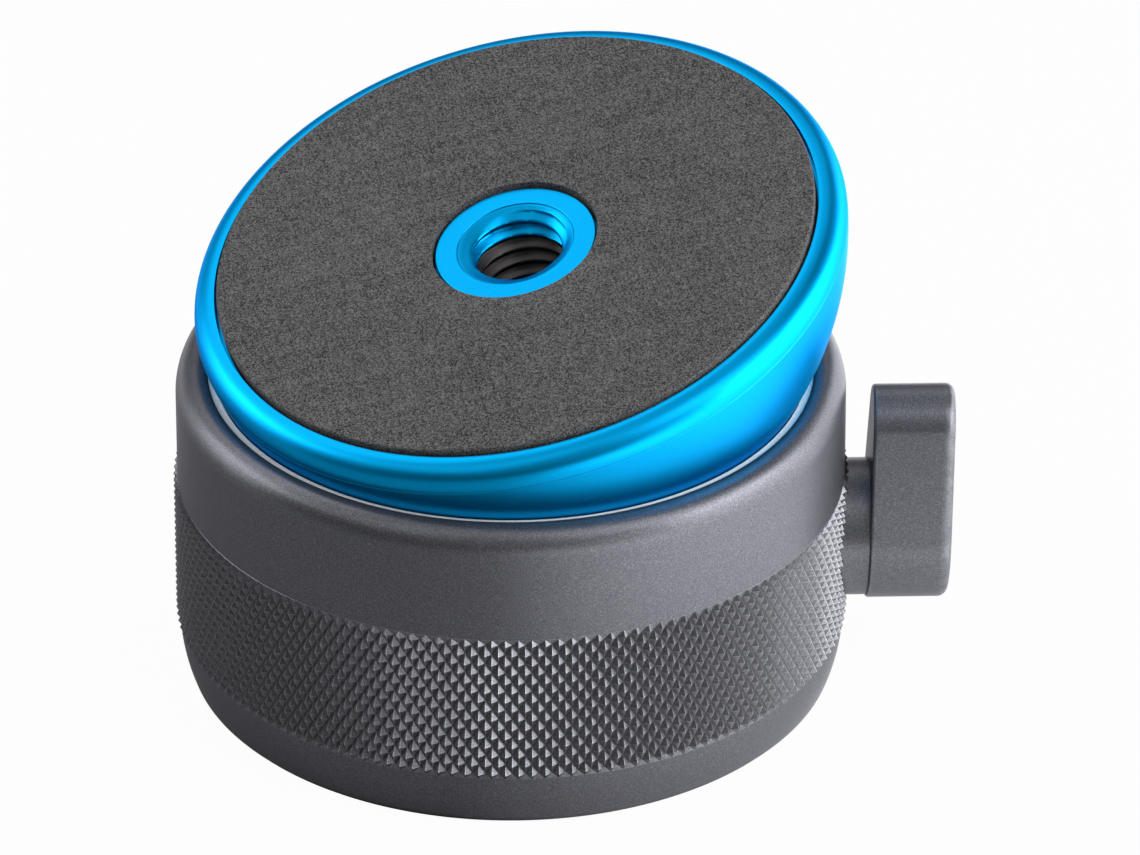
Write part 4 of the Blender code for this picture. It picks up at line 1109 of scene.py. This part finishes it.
# %% [markdown]
# ## The lever
# The lever's arm is a teardrop seen along its shaft, with a large rounding on the outer edge
# and a small one on the inner. A curve could be extruded with a bevel, but a bevel is the same on
# both sides. So sections of the teardrop are stacked along the shaft instead, drawn in where
# the edge is rounded, and leaned out a little as on the real lever. A short hub joins it to
# the shaft.

# %% Sizes of the lever
LEVER_IN = BODY_RADIUS + 2.0 * MM
LEVER_OUT = LEVER_IN + 7.38 * MM
LEVER_ROOT = 6.45 * MM
LEVER_TIP = 3.7 * MM
LEVER_REACH = 10.6 * MM
LEVER_LEAN = radians(2.0)
OUTER_EDGE = 0.85 * MM
INNER_EDGE = 0.3 * MM
EDGE_STEPS = 8
INNER_GUARD = 0.2 * MM
OUTER_GUARD = 0.3 * MM
print("lever thickness in mm:", round((LEVER_OUT - LEVER_IN) / MM, 2))


# %% Lever arm
def teardrop(inset):
    """The lever's outline, as across and up, pulled in by an inset."""
    flank = asin((LEVER_ROOT - LEVER_TIP) / LEVER_REACH)
    points = arc((0, LEVER_REACH), LEVER_TIP - inset, flank, pi - flank, 32)
    points += arc((0, 0), LEVER_ROOT - inset, pi - flank, 2 * pi + flank, 56)
    return [(across, up) for across, up, _rounding in points]


def lever_sections():
    """Distance along the shaft, inset and edge mark of each section."""
    inner = []
    outer = []
    for step in range(EDGE_STEPS + 1):
        turn = pi / 2 * step / EDGE_STEPS
        drawn_in = 1 - cos(turn)
        from_face = 1 - sin(turn)
        inner.insert(0, (LEVER_IN + INNER_EDGE * from_face, INNER_EDGE * drawn_in, 1.0))
        outer.append((LEVER_OUT - OUTER_EDGE * from_face, OUTER_EDGE * drawn_in, 1.0))
    middle = [(inner[-1][0] + INNER_GUARD, 0.0, 0.0), (outer[0][0] - OUTER_GUARD, 0.0, 0.0)]
    inner_face = [(LEVER_IN, INNER_EDGE + OUTER_GUARD, 0.0)]
    outer_face = [(LEVER_OUT, OUTER_EDGE + OUTER_GUARD, 0.0)]
    return inner_face + inner + middle + outer + outer_face


def lever_arm():
    shape = bmesh.new()
    edge_mark = shape.verts.layers.float.new("edge")
    rings = []
    for distance, inset, mark in lever_sections():
        ring = []
        for across, up in teardrop(inset):
            vertex = shape.verts.new((distance + up * tan(LEVER_LEAN), across, up))
            vertex[edge_mark] = mark
            ring.append(vertex)
        rings.append(ring)
    for ring, following in zip(rings, rings[1:]):
        for index in range(len(ring)):
            after = (index + 1) % len(ring)
            shape.faces.new((ring[index], ring[after], following[after], following[index]))
    shape.faces.new(rings[0])
    shape.faces.new(rings[-1])
    return add_piece("lever_arm", shape, LEVER_FRAME)


# %% Hub and bores of the lever
HUB_RADIUS = 6.2 * MM
HUB_IN = BODY_RADIUS - 1.2 * MM
HUB_OUT = LEVER_IN + 3.0 * MM
LEVER_BORE_END = LEVER_IN + 4.3 * MM
SET_SCREW_BORE = 1.7 * MM
SET_SCREW_PLACE = LEVER_IN + 2.0 * MM
SET_SCREW_FROM = -8.0 * MM
SET_SCREW_TO = -4.0 * MM
ALONG_SHAFT = LEVER_FRAME @ ALONG_X


def plug(name, radius, start, stop, sides, place, rounding=0):
    """A solid cylinder, with a rounding at its start."""
    corners = [(0, start, 0), (radius, start, rounding), (radius, stop, 0), (0, stop, 0)]
    return turned(name, corners, sides, place)


hub = plug("hub", HUB_RADIUS, HUB_IN, HUB_OUT, SMALL_SIDES, ALONG_SHAFT, 0.15 * MM)
bore = plug("bore", SHAFT_BORE, HUB_IN - OVERRUN, LEVER_BORE_END, SMALL_SIDES, ALONG_SHAFT)
across = LEVER_FRAME @ Matrix.Translation((SET_SCREW_PLACE, 0, 0))
screw_hole = plug("screw_hole", SET_SCREW_BORE, SET_SCREW_FROM, SET_SCREW_TO, SCREW_SIDES, across)
lever = combined(lever_arm(), hub, "UNION")
combined(lever, bore)
combined(lever, screw_hole)
place_piece(lever, grey, "lever", "blasted_grey", "clamp_lever")

# %% Hub washer
WASHER_IN = SPOT_FACE + FINE_GAP
WASHER_OUT = WASHER_IN + 0.4 * MM
WASHER_RADIUS = 6.0 * MM
washer_outline = [
    (SHAFT_BORE, WASHER_IN, 0),
    (WASHER_RADIUS, WASHER_IN, 0.1 * MM),
    (WASHER_RADIUS, WASHER_OUT, 0.15 * MM),
    (SHAFT_BORE, WASHER_OUT, 0),
]
hub_washer = turned("hub_washer", washer_outline, SMALL_SIDES, ALONG_SHAFT)
place_piece(hub_washer, dark_polymer, "lever", "dark_polymer", "thrust_washer")

# %% [markdown]
# ## The underside
# A plate closes the cup from below. It carries a steel bush with the tripod's thread and is
# held by countersunk screws. Four copies could be placed by hand, but Geometry Nodes set one
# screw around a circle, so a change of the screw or of their number is made once.

# %% Sizes of the underside
BASE_RADIUS = 24.0 * MM
BASE_THICKNESS = 4.0 * MM
BASE_BUSH_RADIUS = 6.0 * MM
BASE_BUSH_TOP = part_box("base_bush")[1].z
BASE_BOSS_RADIUS = 8.0 * MM
BASE_BOSS_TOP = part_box("base_plate")[1].z
SCREW_CIRCLE = 18.6 * MM
SCREW_COUNT = 4
SCREW_HEAD = 2.3 * MM
SCREW_SHANK = 1.2 * MM
SCREW_LENGTH = 8.2 * MM
SCREW_RECESS = 0.5 * MM
HOLE_MOUTH = SCREW_HEAD + 0.35 * MM
HOLE_SHANK = SCREW_SHANK + 0.2 * MM
print("screws under the base:", SCREW_COUNT)

# %% Base plate
bush_hole = BASE_BUSH_RADIUS + FINE_GAP
base_outline = [
    (bush_hole, 0, 0.15 * MM),
    (BASE_RADIUS, 0, 0.25 * MM),
    (BASE_RADIUS, BASE_THICKNESS, 0.1 * MM),
    (BASE_BOSS_RADIUS, BASE_THICKNESS, 0),
    (BASE_BOSS_RADIUS, BASE_BOSS_TOP, 0.1 * MM),
    (bush_hole, BASE_BOSS_TOP, 0),
]
hole_outline = [
    (0, -OVERRUN, 0),
    (HOLE_MOUTH, -OVERRUN, 0),
    (HOLE_MOUTH, SCREW_RECESS, 0),
    (HOLE_SHANK, SCREW_RECESS + HOLE_MOUTH - SCREW_SHANK, 0),
    (HOLE_SHANK, BASE_THICKNESS + OVERRUN, 0),
    (0, BASE_THICKNESS + OVERRUN, 0),
]
foot_plate = turned("foot_plate", base_outline)
for index in range(SCREW_COUNT):
    turn = pi / SCREW_COUNT + 2 * pi * index / SCREW_COUNT
    spot = Matrix.Translation((SCREW_CIRCLE * cos(turn), SCREW_CIRCLE * sin(turn), 0))
    combined(foot_plate, turned("hole", hole_outline, SCREW_SIDES, spot))
place_piece(foot_plate, grey, "root", "blasted_grey", "base_plate")

# %% Tripod bush
tripod_bush = threaded_sleeve("tripod_bush", GAP, BASE_BUSH_TOP, BASE_BUSH_RADIUS, steel, UPRIGHT)
place_piece(tripod_bush, steel, "root", "bright_steel", "base_bush")


# %% Screw tree
def make_screw_tree():
    inputs = [
        ("Screw", "NodeSocketObject", None),
        ("Count", INTEGER, None),
        ("Circle Radius", FLOAT, None),
        ("Height", FLOAT, None),
        ("Turn", FLOAT, None),
        ("Surface", MATERIAL, None),
    ]
    tree, get, put = new_tree("screws_on_a_circle", "GeometryNodeTree", inputs, GEOMETRY)
    sockets = {"Vertices": get["Count"], "Radius": get["Circle Radius"]}
    circle = add_node(tree, "GeometryNodeMeshCircle", sockets).outputs[0]
    screw = add_node(tree, "GeometryNodeObjectInfo", {"Object": get["Screw"]}).outputs["Geometry"]
    sockets = {"Points": circle, "Instance": screw}
    placed = add_node(tree, "GeometryNodeInstanceOnPoints", sockets).outputs[0]
    angle = vector_of(tree, Z=get["Turn"])
    lift = vector_of(tree, Z=get["Height"])
    sockets = {"Geometry": placed, "Translation": lift, "Rotation": angle}
    moved = add_node(tree, "GeometryNodeTransform", sockets).outputs[0]
    finish_tree(tree, moved, get["Surface"], put["Geometry"])
    return tree


# %% Base screws
KEY_RADIUS = 0.7875 * MM
KEY_DEPTH = 0.9 * MM


def one_screw():
    """A countersunk screw that points up, with a round key socket in its head."""
    corners = [
        (0, KEY_DEPTH, 0),
        (KEY_RADIUS, KEY_DEPTH, 0),
        (KEY_RADIUS, 0, 0.05 * MM),
        (SCREW_HEAD, 0, 0.12 * MM),
        (SCREW_SHANK, SCREW_HEAD - SCREW_SHANK, 0),
        (SCREW_SHANK, SCREW_LENGTH, 0.2 * MM),
        (0, SCREW_LENGTH, 0),
    ]
    return turned("screw_pattern", corners, SCREW_SIDES)


screw_pattern = one_screw()
screw_sizes = {
    "Screw": screw_pattern,
    "Count": SCREW_COUNT,
    "Circle Radius": SCREW_CIRCLE,
    "Height": SCREW_RECESS,
    "Turn": pi / SCREW_COUNT,
    "Surface": screw_steel,
}
base_screws = outward(grown("base_screws", make_screw_tree(), screw_sizes), smooth=True)
bpy.data.objects.remove(screw_pattern)
base_screw_nodes = [f"base_screw_{number}" for number in range(1, SCREW_COUNT + 1)]
place_piece(base_screws, screw_steel, "root", "screw_steel", *base_screw_nodes)

# %% [markdown]
# ## Pieces that keep their CAD mesh
# The clamp's inner pieces hardly show. They could be made again too, but their CAD mesh is good
# enough there, so they keep it and only get a finish.

# %% Dress the inner pieces
CAD_FINISHES = {
    "plate_screw_1": screw_steel,
    "plate_screw_2": screw_steel,
    "plate_screw_3": screw_steel,
    "ball_liner": dark_polymer,
    "drag_washer": bronze,
    "draw_rod": steel,
    "draw_head": steel,
    "draw_nut": black_steel,
    "release_spring": steel,
    "retaining_screw": black_steel,
    "shaft_bush": bronze,
    "eccentric_shaft": steel,
    "lever_grub_screw": black_steel,
}
for node, material in CAD_FINISHES.items():
    frame["nodes"][node].material_slots[0].material = material
print("dressed CAD nodes:", len(CAD_FINISHES))

# %% [markdown]
# ## Floor and light
# The photograph has a pure white ground and large soft lamps: strong ones low at the right,
# weaker ones at the left and behind. The side that faces the camera gets little light, which is
# why the cup's front is dark and its flanks are pale. A studio image around the object would
# light it too, but lamps can be moved one by one. The floor carries painted light: it glows a
# little to the right and behind, as if the lamps fell on it there, and a painted shadow darkens
# that glow near the object and most near the lever. The metal shows that. The camera sees it white.

# %% Floor
FLOOR_SIZE = 6.0
FLOOR_DROP = 0.03 * MM
FLOOR_GREY = (0.34, 0.34, 0.34)
floor_mesh = bmesh.new()
bmesh.ops.create_grid(floor_mesh, x_segments=1, y_segments=1, size=FLOOR_SIZE / 2)
bmesh.ops.translate(floor_mesh, verts=floor_mesh.verts[:], vec=(0, 0, -FLOOR_DROP))
floor_data = bpy.data.meshes.new("floor")
floor_mesh.to_mesh(floor_data)
floor_mesh.free()
floor = new_object("floor", floor_data)
floor_finish = bpy.data.materials.new("pale_floor")
floor_finish.use_nodes = True
floor_tree = floor_finish.node_tree
floor_shader = floor_tree.nodes["Principled BSDF"]
floor_shader.inputs["Base Color"].default_value = full(FLOOR_GREY)
floor_shader.inputs["Roughness"].default_value = 0.9
print("floor width in metres:", FLOOR_SIZE)

# %% Painted light and shadow on the floor
# Each row is a range in millimetres and the brightness at its two ends.
GLOW_TO_RIGHT = (-6 * MM, 55 * MM, 0.0, 2.25)
GLOW_TO_BACK = (-10 * MM, 35 * MM, 1.0, 0.35)
GLOW_FAR_OFF = (62 * MM, 85 * MM, 0.0, 1.1)
# The next three rows paint the shadow of the object and of the lever onto the floor's glow.
PAINTED_SHADOW_NEAR = (32 * MM, 62 * MM, 0.9, 1.0)
PAINTED_LEVER_SHADOW_SIDE = (26 * MM, 36 * MM, 1.0, 0.7)
PAINTED_LEVER_SHADOW_END = (42 * MM, 60 * MM, 0.7, 1.0)
GLOW_BEHIND = (30 * MM, 150 * MM, 0.0, 0.9)


def painted_floor_glow(tree):
    """Brightness of the floor's painted glow by its place: painted light to the right and behind, with
    a painted shadow near the object, deepest near the lever.
    """
    ground = parts_of(tree, add_node(tree, "ShaderNodeNewGeometry").outputs["Position"])
    away = from_axis(tree, ground)
    to_right = spread(tree, ground["X"], *GLOW_TO_RIGHT)
    to_back = spread(tree, ground["Y"], *GLOW_TO_BACK)
    to_back = calc(tree, "MAXIMUM", to_back, spread(tree, away, *GLOW_FAR_OFF))
    painted_lever_shadow = spread(tree, ground["X"], *PAINTED_LEVER_SHADOW_SIDE)
    painted_lever_shadow = calc(tree, "MAXIMUM", painted_lever_shadow, spread(tree, away, *PAINTED_LEVER_SHADOW_END))
    near = calc(tree, "MULTIPLY", spread(tree, away, *PAINTED_SHADOW_NEAR), painted_lever_shadow)
    glow = calc(tree, "MULTIPLY", calc(tree, "MULTIPLY", to_right, to_back), near)
    return calc(tree, "MAXIMUM", glow, spread(tree, ground["Y"], *GLOW_BEHIND))


# %% Floor as the metal and the camera see it
CAMERA_WHITE = 0.97
path = add_node(floor_tree, "ShaderNodeLightPath").outputs
# The floor's emission is painted light, and its darker parts near the object are painted shadow.
painted_glow = add_node(floor_tree, "ShaderNodeEmission", {"Strength": painted_floor_glow(floor_tree)}).outputs[0]
lit_and_painted = add_node(floor_tree, "ShaderNodeAddShader", {0: floor_shader.outputs[0], 1: painted_glow}).outputs[0]
white = add_node(floor_tree, "ShaderNodeEmission", {"Color": full((1, 1, 1))}).outputs[0]
sockets = {0: CAMERA_WHITE, 1: floor_shader.outputs[0], 2: white}
pale = add_node(floor_tree, "ShaderNodeMixShader", sockets).outputs[0]
sockets = {0: path["Is Camera Ray"], 1: lit_and_painted, 2: pale}
seen = add_node(floor_tree, "ShaderNodeMixShader", sockets).outputs[0]
floor_tree.links.new(seen, floor_tree.nodes["Material Output"].inputs["Surface"])
floor_data.materials.append(floor_finish)
print("nodes in the floor's finish:", len(floor_tree.nodes))

# %% World
ROOM_LIGHT = 0.06
ROOM_IN_METAL = (0.2, 0.9, 0.06, 0.35)
world = bpy.data.worlds.new("studio")
world.use_nodes = True
bpy.context.scene.world = world
sky = world.node_tree
background = sky.nodes["Background"]
sky_path = add_node(sky, "ShaderNodeLightPath").outputs
from_behind = parts_of(sky, add_node(sky, "ShaderNodeTexCoord").outputs["Generated"])["Y"]
mirrored = calc(sky, "MAXIMUM", sky_path["Is Glossy Ray"], sky_path["Is Transmission Ray"])
mirrored = calc(sky, "MULTIPLY", mirrored, spread(sky, from_behind, *ROOM_IN_METAL))
brightness = calc(sky, "MAXIMUM", ROOM_LIGHT, mirrored)
brightness = calc(sky, "MAXIMUM", brightness, sky_path["Is Camera Ray"])
sky.links.new(brightness, background.inputs["Strength"])
background.inputs["Color"].default_value = full((1, 1, 1))
print("nodes in the world:", len(sky.nodes))


# %% Lamps
# Each lamp has its heading from the front to the right and its rise, both in degrees, then its
# width and height in metres, and its brightness.
LAMPS = {
    "right_low": (84, 16, (1.15, 0.56), 5.1),
    "right_back": (134, 13, (0.55, 0.45), 3.6),
    "right_middle": (78, 33, (0.66, 0.36), 4.6),
    "right_front": (45, 50, (0.6, 0.6), 2.6),
    "right_front_low": (42, 12, (0.55, 0.4), 1.3),
    "left_low": (-110, 16, (0.6, 0.5), 3.3),
    "left_middle": (-105, 33, (0.55, 0.36), 3.6),
    "left_back": (-135, 50, (0.6, 0.6), 1.9),
    "left_front": (-55, 50, (0.7, 0.6), 1.0),
    "front_fill": (0, 43, (1.2, 0.8), 0.28),
    "back": (180, 50, (0.6, 0.6), 1.0),
    "top": (0, 84, (0.7, 0.9), 0.8),
}
AIM = Vector((0, 0, 0.02))


def soft_lamp(name, heading, rise, size, brightness):
    """A large soft lamp a metre off that faces the object."""
    lamp = new_object(name, bpy.data.lights.new(name, "AREA"))
    lamp.data.shape = "RECTANGLE"
    lamp.data.size, lamp.data.size_y = size
    lamp.data.energy = pi * size[0] * size[1] * brightness
    turn, lift = radians(heading), radians(rise)
    way = Vector((sin(turn) * cos(lift), -cos(turn) * cos(lift), sin(lift)))
    lamp.location = way + AIM
    lamp.rotation_euler = (-way).to_track_quat("-Z", "Y").to_euler()


for name, values in LAMPS.items():
    soft_lamp(name, *values)
print("lamps:", len(LAMPS))

# %% Colour view
bpy.context.scene.view_settings.view_transform = "Standard"
print("view transform:", bpy.context.scene.view_settings.view_transform)

# %% [markdown]
# ## Bring the scene up to date

# %% Finish
bpy.context.view_layer.update()
